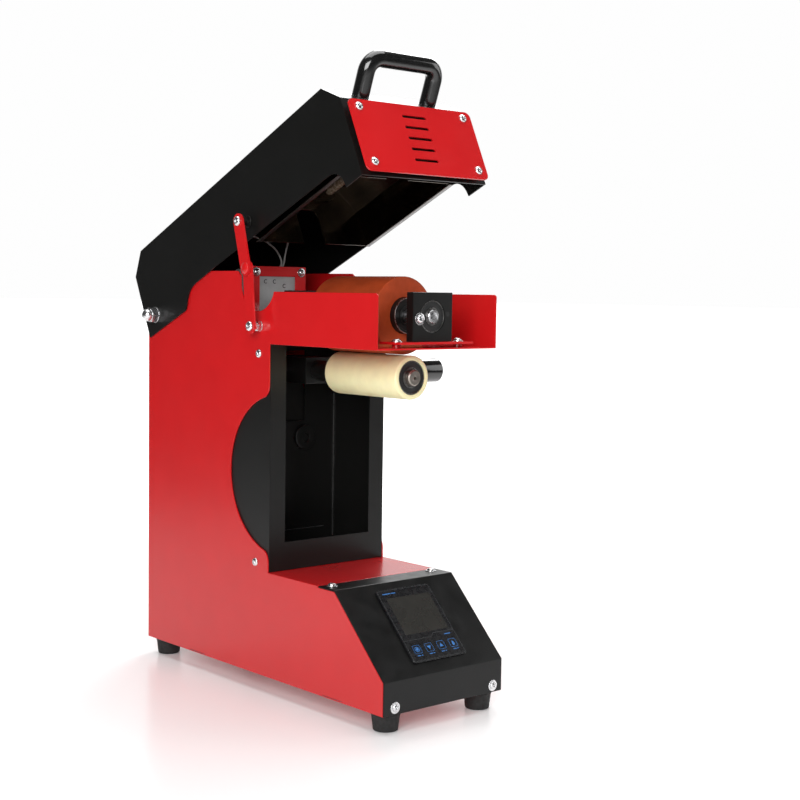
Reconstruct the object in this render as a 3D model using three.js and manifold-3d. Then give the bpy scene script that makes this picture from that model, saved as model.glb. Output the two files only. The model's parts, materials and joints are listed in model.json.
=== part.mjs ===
// Mug heat press: a driven silicone roller in an open trough, a heated lid that closes over it, and a plain
// roller on a sprung arm below that the mug is slipped over. Millimetres, +Z up, front towards -Y.
// The machine is laid out from the outer face of its left side panel (x = 0), the front edge of its base (y = 0)
// and the bottom edge of its side panels (z = 0). The last lines move it so that the origin is the middle of its
// footprint, at the bottom of its feet.

import * as THREE from 'three';
import { mergeVertices } from 'three/addons/utils/BufferGeometryUtils.js';
import Module from 'manifold-3d';

const wasm = await Module();
wasm.setup();

// ---- driving dimensions ----

const WIDTH = 200;
const DEPTH = 535.7;
const SHEET = 2;
const GAP = 0.3;
const INNER_LEFT = SHEET + GAP;
const INNER_RIGHT = WIDTH - SHEET - GAP;
const MIDDLE_X = WIDTH / 2;

const DECK_Z = 139.7;
const SLOPE_START_Z = 42.3;
const SLOPE_RUN = DECK_Z - SLOPE_START_Z;
const SLOPE_LENGTH = SLOPE_RUN * Math.SQRT2;
const PANEL_STRIP_Y = 131;

const COLUMN_FRONT_Y = 238.8;
const COLUMN_BACK_Y = 350;
const ARM_BOTTOM_Z = 441.4;
const ARM_TOP_Z = 510;
const ARM_FRONT_Y = 21.6;
const BODY_TOP_Z = 537;
const FLOOR_TOP_Z = ARM_BOTTOM_Z + SHEET;

const ROUND_CUT = { y: 221, z: 270, radius: 105 };
const TOP_NOTCH = { y: 266, z: 522, radius: 38 };

const ROLLER_AXIS_Z = 482;
const ROLLER_RADIUS = 49.7;
const ROLLER_FRONT_Y = 87.5;
const ROLLER_BACK_Y = 218.5;
const HUB_REACH = 8.5;
const ROLLER_SHAFT_RADIUS = 8.5;
const BEARING_RADIUS = 20;
const BLOCK_WIDTH = 66;
const BLOCK_THICKNESS = 12;
const BLOCK_TOP_Z = 512;
const BLOCK_BASE_Z = FLOOR_TOP_Z + 4.2;
const FRONT_BLOCK_Y = 33;
const REAR_BLOCK_Y = 286;

const ARM_PIVOT = { y: 318, z: 403.8 };
const MANDREL_RADIUS = 28.1;
const MANDREL_FRONT_Y = 70;
const MANDREL_BACK_Y = 214;
const MANDREL_SHAFT_FRONT_Y = 64.5;
const MANDREL_BORE_RADIUS = 22;
const MANDREL_SHAFT_RADIUS = 10.2;
const CROSS_SHAFT_RADIUS = 8;
const RUNNING_GAP = 0.3;
const SPRING = { x: 140.5, z: 303.5, length: 42 };
const FORK_FRONT_Y = COLUMN_BACK_Y + 2;
const FORK_THICKNESS = 6;
const SPRING_FRONT_Y = FORK_FRONT_Y + FORK_THICKNESS + GAP;

const GRIP = { y: 225, z: 401.6, radius: 17, start: 208, end: 284 };

const LID_PIVOT = { y: 511.6, z: 474.1 };
const LID_OPEN_ANGLE = THREE.MathUtils.degToRad(24.7);
const LID_SIDE_GAP = 3.5;
const LID_TOP = 101;
const LID_REAR = -28;
const LID_FRONT = 494;
const LID_BEVEL = 28.5;
const LID_NOTCH_HEIGHT = -1;
const LID_TAB_BOTTOM = -32;
const LID_REAR_TAB_BOTTOM = -23.5;
const HINGE_ROD_RADIUS = 6;

const HOOD = { start: 258, end: 446, left: 9, right: 191, bottom: -7, shoulder: 45, top: 86, inset: 30, flange: 6 };
const HOOD_SHEET = 1.2;
const HOOD_ENTRY = { x: 60, forward: HOOD.start, height: 52 };
const TUBE_RADIUS = 5.5;
const TUBE_HEIGHT = 67;
const TUBE_OFFSET_X = 39;

const LEAD_SLEEVE = { x: 145.5, y: 406, bottom: 400, top: 516 };

const STAY_BODY_PIN = { y: 259, z: 464.6 };
const STAY_ELBOW = { y: 266, z: 540.1 };
const STAY_LID_PIN = { y: 283, z: 601.5 };
const LINK_WIDTH = 20;
const LINK_THICKNESS = 3;
const LOWER_LINK_X = -17;
const UPPER_LINK_X = -20.5;

const FOOT_HEIGHT = 23;
const FINE = 40;
const COARSE = 20;

// ---- materials ----

function finish(color, roughness, metalness) {
  return new THREE.MeshStandardMaterial({ color, roughness, metalness });
}

const redCoat = finish(0xc21a20, 0.4, 0.1);
const blackCoat = finish(0x151515, 0.45, 0.1);
const texturedBlack = finish(0x1a1a1c, 0.7, 0.1);
const silicone = finish(0x8f3a1c, 0.6, 0);
const nylon = finish(0xe6dca8, 0.45, 0);
const blackGrip = finish(0x101010, 0.25, 0);
const rubber = finish(0x111111, 0.9, 0);
const steel = finish(0xb8bcc0, 0.3, 0.9);
const chrome = finish(0xdfe2e6, 0.12, 1);
const darkSteel = finish(0x3a3a3c, 0.45, 0.8);
const castGrey = finish(0x9a9da0, 0.5, 0.6);
const mirrorSteel = finish(0x8d8478, 0.18, 1);
const quartz = finish(0xd9d4c8, 0.2, 0);
const ceramic = finish(0xe8e4da, 0.6, 0);
const screenGlass = finish(0x07080c, 0.08, 0);
const darkPlastic = finish(0x17181a, 0.4, 0);
const greyWire = finish(0x9c9c9a, 0.5, 0);
const boardGreen = finish(0x1f5a34, 0.5, 0);

// ---- solids ----

function toSolid(geometry) {
  const bare = geometry.index ? geometry.toNonIndexed() : geometry.clone();
  bare.deleteAttribute('normal');
  bare.deleteAttribute('uv');
  const merged = mergeVertices(bare, 1e-4);
  const vertProperties = new Float32Array(merged.attributes.position.array);
  const triVerts = new Uint32Array(merged.index.array);
  return new wasm.Manifold(new wasm.Mesh({ numProp: 3, vertProperties, triVerts }));
}

function toGeometry(solid) {
  const mesh = solid.getMesh();
  const geometry = new THREE.BufferGeometry();
  geometry.setAttribute('position', new THREE.BufferAttribute(new Float32Array(mesh.vertProperties), 3));
  geometry.setIndex(new THREE.BufferAttribute(new Uint32Array(mesh.triVerts), 1));
  return geometry;
}

function cut(body, ...tools) {
  return toGeometry(tools.reduce((solid, tool) => solid.subtract(toSolid(tool)), toSolid(body)));
}

function join(body, ...others) {
  return toGeometry(others.reduce((solid, other) => solid.add(toSolid(other)), toSolid(body)));
}

function box(x0, x1, y0, y1, z0, z1) {
  const geometry = new THREE.BoxGeometry(x1 - x0, y1 - y0, z1 - z0);
  return geometry.translate((x0 + x1) / 2, (y0 + y1) / 2, (z0 + z1) / 2);
}

const AXES = {
  x: [new THREE.Vector3(0, 1, 0), new THREE.Vector3(0, 0, 1), new THREE.Vector3(1, 0, 0)],
  y: [new THREE.Vector3(0, 0, 1), new THREE.Vector3(1, 0, 0), new THREE.Vector3(0, 1, 0)],
};

// A flat outline drawn in (y, z) and extruded along X, from x0 to x1.
function slabX(shape, x0, x1, curveSegments = 8) {
  const geometry = new THREE.ExtrudeGeometry(shape, { depth: x1 - x0, bevelEnabled: false, curveSegments });
  return geometry.applyMatrix4(new THREE.Matrix4().makeBasis(...AXES.x)).translate(x0, 0, 0);
}

// A flat outline drawn in (z, x) and extruded along Y, from y0 to y1.
function slabY(shape, y0, y1, curveSegments = 4) {
  const geometry = new THREE.ExtrudeGeometry(shape, { depth: y1 - y0, bevelEnabled: false, curveSegments });
  return geometry.applyMatrix4(new THREE.Matrix4().makeBasis(...AXES.y)).translate(0, y0, 0);
}

function slabZ(shape, z0, z1, curveSegments = 4) {
  const geometry = new THREE.ExtrudeGeometry(shape, { depth: z1 - z0, bevelEnabled: false, curveSegments });
  return geometry.translate(0, 0, z0);
}

function rodX(x0, x1, y, z, radius, sides = COARSE) {
  const geometry = new THREE.CylinderGeometry(radius, radius, x1 - x0, sides);
  return geometry.rotateZ(-Math.PI / 2).translate((x0 + x1) / 2, y, z);
}

function rodY(y0, y1, x, z, radius, sides = COARSE) {
  return new THREE.CylinderGeometry(radius, radius, y1 - y0, sides).translate(x, (y0 + y1) / 2, z);
}

// A body of revolution about +Y: points are (radius, distance along the axis), starting and ending on the axis
// or closing on themselves.
function turnedY(points, x, z, sides = FINE) {
  const profile = points.map(([radius, along]) => new THREE.Vector2(radius, along));
  return new THREE.LatheGeometry(profile, sides).translate(x, 0, z);
}

function ringY(y0, y1, x, z, outer, inner, sides = FINE) {
  return turnedY([[inner, y0], [outer, y0], [outer, y1], [inner, y1], [inner, y0]], x, z, sides);
}

function ringX(x0, x1, y, z, outer, inner, sides = COARSE) {
  return ringY(x0, x1, 0, 0, outer, inner, sides).rotateZ(-Math.PI / 2).translate(0, y, z);
}

function polygon(points) {
  return new THREE.Shape(points.map(([a, b]) => new THREE.Vector2(a, b)));
}

function roundedRectangle(a0, a1, b0, b1, radius) {
  const shape = new THREE.Shape();
  shape.moveTo(a0 + radius, b0).lineTo(a1 - radius, b0);
  shape.absarc(a1 - radius, b0 + radius, radius, -Math.PI / 2, 0);
  shape.lineTo(a1, b1 - radius).absarc(a1 - radius, b1 - radius, radius, 0, Math.PI / 2);
  shape.lineTo(a0 + radius, b1).absarc(a0 + radius, b1 - radius, radius, Math.PI / 2, Math.PI);
  shape.lineTo(a0, b0 + radius).absarc(a0 + radius, b0 + radius, radius, Math.PI, Math.PI * 1.5);
  return shape;
}

// The open path moved sideways by distance, to the right of its direction, with mitred corners.
function offsetPath(points, distance) {
  const normals = points.slice(1).map(([a, b], i) => {
    const direction = new THREE.Vector2(a - points[i][0], b - points[i][1]).normalize();
    return new THREE.Vector2(direction.y, -direction.x);
  });
  return points.map(([a, b], i) => {
    const before = normals[Math.max(i - 1, 0)];
    const after = normals[Math.min(i, normals.length - 1)];
    const mitre = before.clone().add(after);
    mitre.multiplyScalar((2 * distance) / mitre.lengthSq());
    return [a + mitre.x, b + mitre.y];
  });
}

// The outline of a bent sheet: the path is its outer face and its thickness lies to the right of the path.
function bentSheet(points, thickness = SHEET) {
  return polygon([...points, ...offsetPath(points, thickness).reverse()]);
}

// ---- assembly helpers ----

const press = new THREE.Group();

const lid = new THREE.Group();
lid.position.set(0, LID_PIVOT.y, LID_PIVOT.z);
lid.rotation.x = -LID_OPEN_ANGLE;
press.add(lid);

const slope = new THREE.Group();
slope.position.set(0, 0, SLOPE_START_Z);
slope.rotation.x = Math.PI / 4;
press.add(slope);

function add(name, geometry, material, parent = press) {
  const mesh = new THREE.Mesh(geometry, material);
  mesh.name = name;
  parent.add(mesh);
}

// ---- body shell ----

const BASE_PROFILE = [[PANEL_STRIP_Y, DECK_Z], [SLOPE_RUN, DECK_Z], [0, SLOPE_START_Z], [0, GAP]];

function cutStart() {
  return Math.acos((COLUMN_FRONT_Y + 13 - ROUND_CUT.y) / ROUND_CUT.radius);
}

function sidePanelOutline() {
  const shape = new THREE.Shape();
  const corner = 4;
  const underSheet = offsetPath(BASE_PROFILE, -(SHEET + GAP));
  const cutTop = ROUND_CUT.z + Math.sqrt(ROUND_CUT.radius ** 2 - (COLUMN_FRONT_Y - ROUND_CUT.y) ** 2);
  const cutBottom = 2 * ROUND_CUT.z - cutTop;
  const start = cutStart();
  const notchEnd = Math.PI - Math.asin((TOP_NOTCH.z - ARM_TOP_Z) / TOP_NOTCH.radius);
  shape.moveTo(underSheet[3][0], 0);
  shape.lineTo(DEPTH, 0);
  shape.lineTo(DEPTH, BODY_TOP_Z);
  shape.lineTo(TOP_NOTCH.y + TOP_NOTCH.radius + 8, BODY_TOP_Z);
  shape.lineTo(TOP_NOTCH.y + TOP_NOTCH.radius, BODY_TOP_Z - 6);
  shape.absarc(TOP_NOTCH.y, TOP_NOTCH.z, TOP_NOTCH.radius, 0, -notchEnd, true);
  shape.lineTo(ARM_FRONT_Y + corner, ARM_TOP_Z);
  shape.absarc(ARM_FRONT_Y + corner, ARM_TOP_Z - corner, corner, Math.PI / 2, Math.PI);
  shape.lineTo(ARM_FRONT_Y, ARM_BOTTOM_Z);
  shape.lineTo(COLUMN_FRONT_Y, ARM_BOTTOM_Z);
  shape.lineTo(COLUMN_FRONT_Y, cutTop + 16);
  shape.quadraticCurveTo(COLUMN_FRONT_Y, cutTop, COLUMN_FRONT_Y + 13, ROUND_CUT.z + ROUND_CUT.radius * Math.sin(start));
  shape.absarc(ROUND_CUT.y, ROUND_CUT.z, ROUND_CUT.radius, start, -start, true);
  shape.quadraticCurveTo(COLUMN_FRONT_Y, cutBottom, COLUMN_FRONT_Y, cutBottom - 16);
  shape.lineTo(COLUMN_FRONT_Y, DECK_Z);
  shape.lineTo(PANEL_STRIP_Y + GAP, DECK_Z);
  shape.lineTo(PANEL_STRIP_Y + GAP, underSheet[0][1]);
  shape.lineTo(...underSheet[1]);
  shape.lineTo(...underSheet[2]);
  return shape;
}

function addSidePanels() {
  const hingeHole = rodX(-5, WIDTH + 5, LID_PIVOT.y, LID_PIVOT.z, HINGE_ROD_RADIUS + RUNNING_GAP);
  const leverHole = rodX(WIDTH - 10, WIDTH + 5, ARM_PIVOT.y, ARM_PIVOT.z, CROSS_SHAFT_RADIUS + 1);
  const outline = sidePanelOutline();
  add('left_side_panel', cut(slabX(outline, 0, SHEET, 16), hingeHole), redCoat);
  add('right_side_panel', cut(slabX(outline, WIDTH - SHEET, WIDTH, 16), hingeHole, leverHole), redCoat);
}

const INLET = { x: 150, z: 52, width: 48, height: 64, socketZ: 36, rockerZ: 68 };
const ROCKER_PIVOT_Y = DEPTH + 1.8;

function addRearPanel() {
  const y0 = DEPTH - SHEET;
  const plate = box(INNER_LEFT, INNER_RIGHT, y0, DEPTH, GAP, BODY_TOP_Z - 2);
  const { x, z, width, height } = INLET;
  const openings = [box(x - width / 2, x + width / 2, y0 - 5, DEPTH + 5, z - height / 2, z + height / 2)];
  for (let row = 0; row < 6; row += 1) {
    const rowZ = 150 + row * 14;
    const slot = roundedRectangle(rowZ - 2.5, rowZ + 2.5, 50, 150, 2.4);
    openings.push(slabY(slot, y0 - 5, DEPTH + 5, 2));
  }
  add('rear_panel', cut(plate, ...openings), redCoat);
}

function addFloorsAndDecks() {
  add('base_plate', box(INNER_LEFT, INNER_RIGHT, SHEET + 2 * GAP, DEPTH - SHEET - GAP, GAP, GAP + SHEET), redCoat);
  add('base_deck', box(INNER_LEFT, INNER_RIGHT, PANEL_STRIP_Y + GAP, COLUMN_BACK_Y, DECK_Z - SHEET, DECK_Z), redCoat);
  const rollerSlot = box(MIDDLE_X - 36, MIDDLE_X + 36, 68, 244, ARM_BOTTOM_Z - 5, FLOOR_TOP_Z + 5);
  const wireHole = new THREE.CylinderGeometry(6, 6, 20, COARSE).rotateX(Math.PI / 2);
  wireHole.translate(LEAD_SLEEVE.x, LEAD_SLEEVE.y, FLOOR_TOP_Z);
  const floor = box(INNER_LEFT, INNER_RIGHT, ARM_FRONT_Y, DEPTH - SHEET - GAP, ARM_BOTTOM_Z, FLOOR_TOP_Z);
  add('trough_floor', cut(floor, rollerSlot, wireHole), redCoat);
}

function addColumnFrame() {
  const bottom = DECK_Z + GAP;
  const top = ARM_BOTTOM_Z - GAP;
  const path = [[COLUMN_FRONT_Y, 28], [COLUMN_FRONT_Y, INNER_LEFT], [COLUMN_BACK_Y, INNER_LEFT],
    [COLUMN_BACK_Y, INNER_RIGHT], [COLUMN_FRONT_Y, INNER_RIGHT], [COLUMN_FRONT_Y, 172]];
  const outline = bentSheet(path.reverse()).getPoints().map(({ x, y }) => [y, x]);
  const walls = slabZ(polygon(outline), bottom, top);
  const sill = box(INNER_LEFT, INNER_RIGHT, COLUMN_FRONT_Y, COLUMN_FRONT_Y + SHEET, bottom, 178);
  const bottomSheet = box(INNER_LEFT, INNER_RIGHT, COLUMN_FRONT_Y, COLUMN_BACK_Y, bottom, bottom + SHEET);
  const backSlot = box(58, 143, COLUMN_BACK_Y - 5, COLUMN_BACK_Y + 5, 327, top - 14);
  const boltHole = rodY(COLUMN_BACK_Y - 8, COLUMN_BACK_Y + 5, SPRING.x, SPRING.z, 5.6);
  const leverHole = rodX(150, WIDTH, ARM_PIVOT.y, ARM_PIVOT.z, CROSS_SHAFT_RADIUS + 1);
  add('column_frame', cut(join(walls, sill, bottomSheet), backSlot, boltHole, leverHole), blackCoat);
}

const FEET = [
  ['front_left_foot', 22, 22], ['front_right_foot', 178, 22],
  ['rear_left_foot', 22, 514], ['rear_right_foot', 178, 514],
];

function addFeet() {
  for (const [name, x, y] of FEET) {
    const foot = new THREE.CylinderGeometry(18.5, 15.5, FOOT_HEIGHT - GAP, COARSE).rotateX(Math.PI / 2);
    add(name, foot.translate(x, y, -(FOOT_HEIGHT + GAP) / 2), rubber);
  }
}

// ---- control panel, laid out on the slope (x across, y up the slope, z out of it) ----

const BEZEL = { x0: 57.5, x1: 147.5, y0: 16.5, y1: 125.5 };
const SCREEN = { x0: 68, x1: 140, y0: 56.5, y1: 112 };

function addControlPanel() {
  const sheet = slabX(bentSheet(BASE_PROFILE.slice().reverse()), 0, WIDTH);
  const opening = box(BEZEL.x0 + 3, BEZEL.x1 - 3, BEZEL.y0 + 3, BEZEL.y1 - 3, -10, 10);
  opening.rotateX(Math.PI / 4).translate(0, 0, SLOPE_START_Z);
  add('control_panel', cut(sheet, opening), texturedBlack);

  const frame = slabZ(roundedRectangle(BEZEL.x0, BEZEL.x1, BEZEL.y0, BEZEL.y1, 4), GAP, 2.6);
  const window = box(SCREEN.x0, SCREEN.x1, SCREEN.y0, SCREEN.y1, -5, 5);
  add('display_bezel', cut(frame, window), darkPlastic, slope);
  const inset = 3.5;
  const housing = box(BEZEL.x0 + inset, BEZEL.x1 - inset, BEZEL.y0 + inset, BEZEL.y1 - inset, -16, -GAP);
  const screen = box(SCREEN.x0 + GAP, SCREEN.x1 - GAP, SCREEN.y0 + GAP, SCREEN.y1 - GAP, -1, 1.9);
  add('display_module', join(housing, screen), screenGlass, slope);
}

// ---- roller drive ----

function addBearingBlocks() {
  const left = MIDDLE_X - BLOCK_WIDTH / 2;
  const right = MIDDLE_X + BLOCK_WIDTH / 2;
  const baseTop = BLOCK_BASE_Z + 3;
  let base = box(MIDDLE_X - 62, MIDDLE_X + 62, 24, 62, BLOCK_BASE_Z, baseTop);
  for (const x of [MIDDLE_X - 51, MIDDLE_X + 51]) {
    const spacer = new THREE.CylinderGeometry(6, 6, BLOCK_BASE_Z - FLOOR_TOP_Z, COARSE);
    spacer.rotateX(Math.PI / 2).translate(x, 42, (BLOCK_BASE_Z + FLOOR_TOP_Z) / 2 + GAP);
    base = join(base, spacer);
  }
  add('front_block_base', base, redCoat);
  for (const [name, y] of [['front', FRONT_BLOCK_Y], ['rear', REAR_BLOCK_Y]]) {
    const bottom = name === 'front' ? baseTop + GAP : FLOOR_TOP_Z + GAP;
    const block = box(left, right, y, y + BLOCK_THICKNESS, bottom, BLOCK_TOP_Z);
    const seat = rodY(y - 5, y + BLOCK_THICKNESS + 5, MIDDLE_X, ROLLER_AXIS_Z, BEARING_RADIUS + GAP, FINE);
    add(`${name}_bearing_block`, cut(block, seat), blackCoat);
    const ring = ringY(y + 0.8, y + BLOCK_THICKNESS - 0.8, MIDDLE_X, ROLLER_AXIS_Z, BEARING_RADIUS,
      ROLLER_SHAFT_RADIUS + RUNNING_GAP);
    add(`${name}_roller_bearing`, ring, steel);
  }
}

function addRoller() {
  const coreRadius = ROLLER_RADIUS - 13.5;
  const coreBore = 29;
  const bore = ROLLER_SHAFT_RADIUS + GAP;
  add('roller_shaft', rodY(31, COLUMN_BACK_Y + 4.6, MIDDLE_X, ROLLER_AXIS_Z, ROLLER_SHAFT_RADIUS), steel);
  const bossRadius = 22.5;
  const lip = 1.7;
  const lipBore = bossRadius + 0.7;
  const sleeve = [[lipBore, ROLLER_FRONT_Y], [ROLLER_RADIUS, ROLLER_FRONT_Y], [ROLLER_RADIUS, ROLLER_BACK_Y],
    [lipBore, ROLLER_BACK_Y], [lipBore, ROLLER_BACK_Y - lip], [coreRadius + GAP, ROLLER_BACK_Y - lip],
    [coreRadius + GAP, ROLLER_FRONT_Y + lip], [lipBore, ROLLER_FRONT_Y + lip], [lipBore, ROLLER_FRONT_Y]];
  add('silicone_sleeve', turnedY(sleeve, MIDDLE_X, ROLLER_AXIS_Z, 60), silicone);
  const coreInset = lip + GAP;
  const coreFront = ROLLER_FRONT_Y + coreInset;
  const coreBack = ROLLER_BACK_Y - coreInset;
  add('roller_core', ringY(coreFront, coreBack, MIDDLE_X, ROLLER_AXIS_Z, coreRadius, coreBore + GAP), castGrey);
  const hubProfile = (outside, shoulder, inside) => [[bore, outside], [bossRadius, outside],
    [bossRadius, shoulder], [coreBore, shoulder], [coreBore, inside], [bore, inside], [bore, outside]];
  const disc = 14;
  const frontHub = hubProfile(ROLLER_FRONT_Y - HUB_REACH, coreFront, coreFront + disc);
  const rearHub = hubProfile(ROLLER_BACK_Y + HUB_REACH, coreBack, coreBack - disc).reverse();
  add('front_roller_hub', turnedY(frontHub, MIDDLE_X, ROLLER_AXIS_Z), blackCoat);
  add('rear_roller_hub', turnedY(rearHub, MIDDLE_X, ROLLER_AXIS_Z), blackCoat);
  add('shaft_coupling', ringY(306, 342, MIDDLE_X, ROLLER_AXIS_Z, 21, bore, COARSE), steel);
}

const GEAR_HEAD = { size: 90, z: 496.3, length: 42 };

function addDrive() {
  const y = COLUMN_BACK_Y + 5.3;
  const bracketFront = y - SHEET - GAP;
  const half = GEAR_HEAD.size / 2;
  const plate = box(52, 146, bracketFront, y - GAP, FLOOR_TOP_Z + GAP, 545);
  const foot = box(52, 146, bracketFront, y + 34, FLOOR_TOP_Z + GAP, FLOOR_TOP_Z + GAP + SHEET);
  const window = box(66, 128, bracketFront - 5, y + 5, 462, 531);
  add('motor_bracket', cut(join(plate, foot), window), redCoat);
  const head = slabY(roundedRectangle(GEAR_HEAD.z - half, GEAR_HEAD.z + half, MIDDLE_X - half, MIDDLE_X + half, 5),
    y, y + GEAR_HEAD.length);
  add('gear_head', head, castGrey);
  add('drive_motor', rodY(y + GEAR_HEAD.length + GAP, y + GEAR_HEAD.length + 88, MIDDLE_X, GEAR_HEAD.z, 40, FINE),
    darkSteel);
}

// ---- lower roller on its sprung arm ----

function addArm() {
  const { y, z } = ARM_PIVOT;
  const blockFront = 262;
  const block = box(78, 122, blockFront, y + 14, z - 18, z + 18);
  const neck = box(90, 122, y + 13, FORK_FRONT_Y + 1, z - 12, z);
  const slotTop = SPRING.z + 16;
  const slotHalf = 6.3;
  const forkEnd = SPRING.z - 18;
  const tail = polygon([[z, 88], [z, 128], [352, 156], [forkEnd, 156], [forkEnd, SPRING.x + slotHalf],
    [slotTop, SPRING.x + slotHalf], [slotTop, SPRING.x - slotHalf], [forkEnd, SPRING.x - slotHalf],
    [forkEnd, 125], [352, 88]]);
  const fork = slabY(tail, FORK_FRONT_Y, FORK_FRONT_Y + FORK_THICKNESS);
  const pivotBore = rodX(70, 130, y, z, CROSS_SHAFT_RADIUS + GAP);
  add('pivot_block', cut(join(block, neck, fork), pivotBore), darkSteel);
  add('cross_shaft', rodX(4.8, GRIP.start - 1, y, z, CROSS_SHAFT_RADIUS), steel);
  add('left_pivot_bushing', ringX(4.6, 18, y, z, 15, CROSS_SHAFT_RADIUS + RUNNING_GAP), darkSteel);
  add('right_pivot_bushing', ringX(182, 195.4, y, z, 15, CROSS_SHAFT_RADIUS + RUNNING_GAP), darkSteel);
  add('mandrel_shaft', turnedY([[0, MANDREL_SHAFT_FRONT_Y], [8.7, MANDREL_SHAFT_FRONT_Y],
    [MANDREL_SHAFT_RADIUS, MANDREL_SHAFT_FRONT_Y + 1.5], [MANDREL_SHAFT_RADIUS, MANDREL_BACK_Y + 6],
    [14, MANDREL_BACK_Y + 6], [14, blockFront - GAP], [0, blockFront - GAP]], MIDDLE_X, z, COARSE), darkSteel);
}

function addLever() {
  const { y, z } = ARM_PIVOT;
  const start = WIDTH + 0.8;
  const plateEnd = GRIP.start - GAP;
  const length = Math.hypot(y - GRIP.y, z - GRIP.z);
  const tilt = Math.atan2(z - GRIP.z, y - GRIP.y);
  const outline = new THREE.Shape();
  outline.absarc(0, 0, 15, -Math.PI / 2, Math.PI / 2);
  outline.lineTo(-length, 11);
  outline.absarc(-length, 0, 11, Math.PI / 2, Math.PI * 1.5);
  const plate = slabX(outline, start, plateEnd).rotateX(tilt).translate(0, y, z);
  const bore = rodX(start - 5, plateEnd + 5, y, z, CROSS_SHAFT_RADIUS + GAP);
  add('press_lever', cut(plate, bore), darkSteel);
  const gripProfile = [[0, GRIP.start], [13, GRIP.start], [GRIP.radius, GRIP.start + 3], [GRIP.radius, GRIP.end - 3],
    [GRIP.radius - 3, GRIP.end], [0, GRIP.end]];
  add('lever_grip', turnedY(gripProfile, 0, 0, 28).rotateZ(-Math.PI / 2).translate(0, GRIP.y, GRIP.z), blackGrip);
}

function addMandrel() {
  const { z } = ARM_PIVOT;
  const edge = 2;
  const sleeve = [[MANDREL_BORE_RADIUS, MANDREL_FRONT_Y], [MANDREL_RADIUS - edge, MANDREL_FRONT_Y],
    [MANDREL_RADIUS - 0.6, MANDREL_FRONT_Y + 0.6], [MANDREL_RADIUS, MANDREL_FRONT_Y + edge],
    [MANDREL_RADIUS, MANDREL_BACK_Y - edge], [MANDREL_RADIUS - 0.6, MANDREL_BACK_Y - 0.6],
    [MANDREL_RADIUS - edge, MANDREL_BACK_Y], [MANDREL_BORE_RADIUS, MANDREL_BACK_Y],
    [MANDREL_BORE_RADIUS, MANDREL_FRONT_Y]];
  add('mandrel_sleeve', turnedY(sleeve, MIDDLE_X, z), nylon);
  for (const [name, y] of [['front', MANDREL_FRONT_Y + 1.2], ['rear', MANDREL_BACK_Y - 13.2]]) {
    add(`mandrel_${name}_bearing`, ringY(y, y + 12, MIDDLE_X, z, MANDREL_BORE_RADIUS - GAP,
      MANDREL_SHAFT_RADIUS + RUNNING_GAP), steel);
  }
}

class Helix extends THREE.Curve {
  constructor(radius, turns, start, end, x, z) {
    super();
    Object.assign(this, { radius, turns, start, end, x, z });
  }

  getPoint(t, target = new THREE.Vector3()) {
    const angle = t * this.turns * 2 * Math.PI;
    const y = this.start + (this.end - this.start) * t;
    return target.set(this.x + this.radius * Math.cos(angle), y, this.z + this.radius * Math.sin(angle));
  }
}

function circle(radius) {
  return new THREE.Shape().absarc(0, 0, radius, 0, 2 * Math.PI);
}

// A round bar of the given radius along a curve.
function barAlong(path, radius, steps, sides) {
  return new THREE.ExtrudeGeometry(circle(radius), {
    steps, extrudePath: path, bevelEnabled: false, curveSegments: sides,
  });
}

function addPressSpring() {
  const wire = 1.3;
  const coilBack = SPRING_FRONT_Y + SPRING.length - wire;
  const coil = new Helix(9, 5.5, SPRING_FRONT_Y + wire, coilBack, SPRING.x, SPRING.z);
  add('press_spring', barAlong(coil, wire, 66, 3), steel);
  const collarBack = COLUMN_BACK_Y - SHEET - GAP;
  const collarFront = collarBack - 6;
  const nutFront = SPRING_FRONT_Y + SPRING.length + GAP;
  const bolt = [[0, collarFront + 3], [6.5, collarFront + 3], [6.5, collarFront], [17.5, collarFront],
    [17.5, collarBack], [5, collarBack], [5, nutFront], [12, nutFront], [12, nutFront + 8], [0, nutFront + 8]];
  add('spring_bolt', turnedY(bolt, SPRING.x, SPRING.z, COARSE), blackCoat);
}

// ---- lid, drawn closed around its hinge: x across, -y towards the front, z up ----

function lidSideOutline() {
  const shape = new THREE.Shape();
  const at = (forward, height) => [-forward, height];
  const curve = 28;
  shape.moveTo(...at(LID_REAR, LID_REAR_TAB_BOTTOM));
  shape.lineTo(...at(LID_REAR, LID_TOP - LID_BEVEL));
  shape.lineTo(...at(LID_REAR + LID_BEVEL, LID_TOP));
  shape.lineTo(...at(LID_FRONT - LID_BEVEL, LID_TOP));
  shape.lineTo(...at(LID_FRONT, LID_TOP - LID_BEVEL));
  shape.lineTo(...at(LID_FRONT, LID_TAB_BOTTOM));
  shape.lineTo(...at(461, LID_TAB_BOTTOM));
  shape.quadraticCurveTo(...at(459, LID_NOTCH_HEIGHT - 3), ...at(461 - curve, LID_NOTCH_HEIGHT - 3));
  shape.lineTo(...at(157, LID_NOTCH_HEIGHT));
  shape.lineTo(...at(112, LID_NOTCH_HEIGHT));
  shape.bezierCurveTo(...at(86, LID_NOTCH_HEIGHT), ...at(83, LID_REAR_TAB_BOTTOM + 3),
    ...at(73, LID_REAR_TAB_BOTTOM - 2));
  return shape;
}

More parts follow.
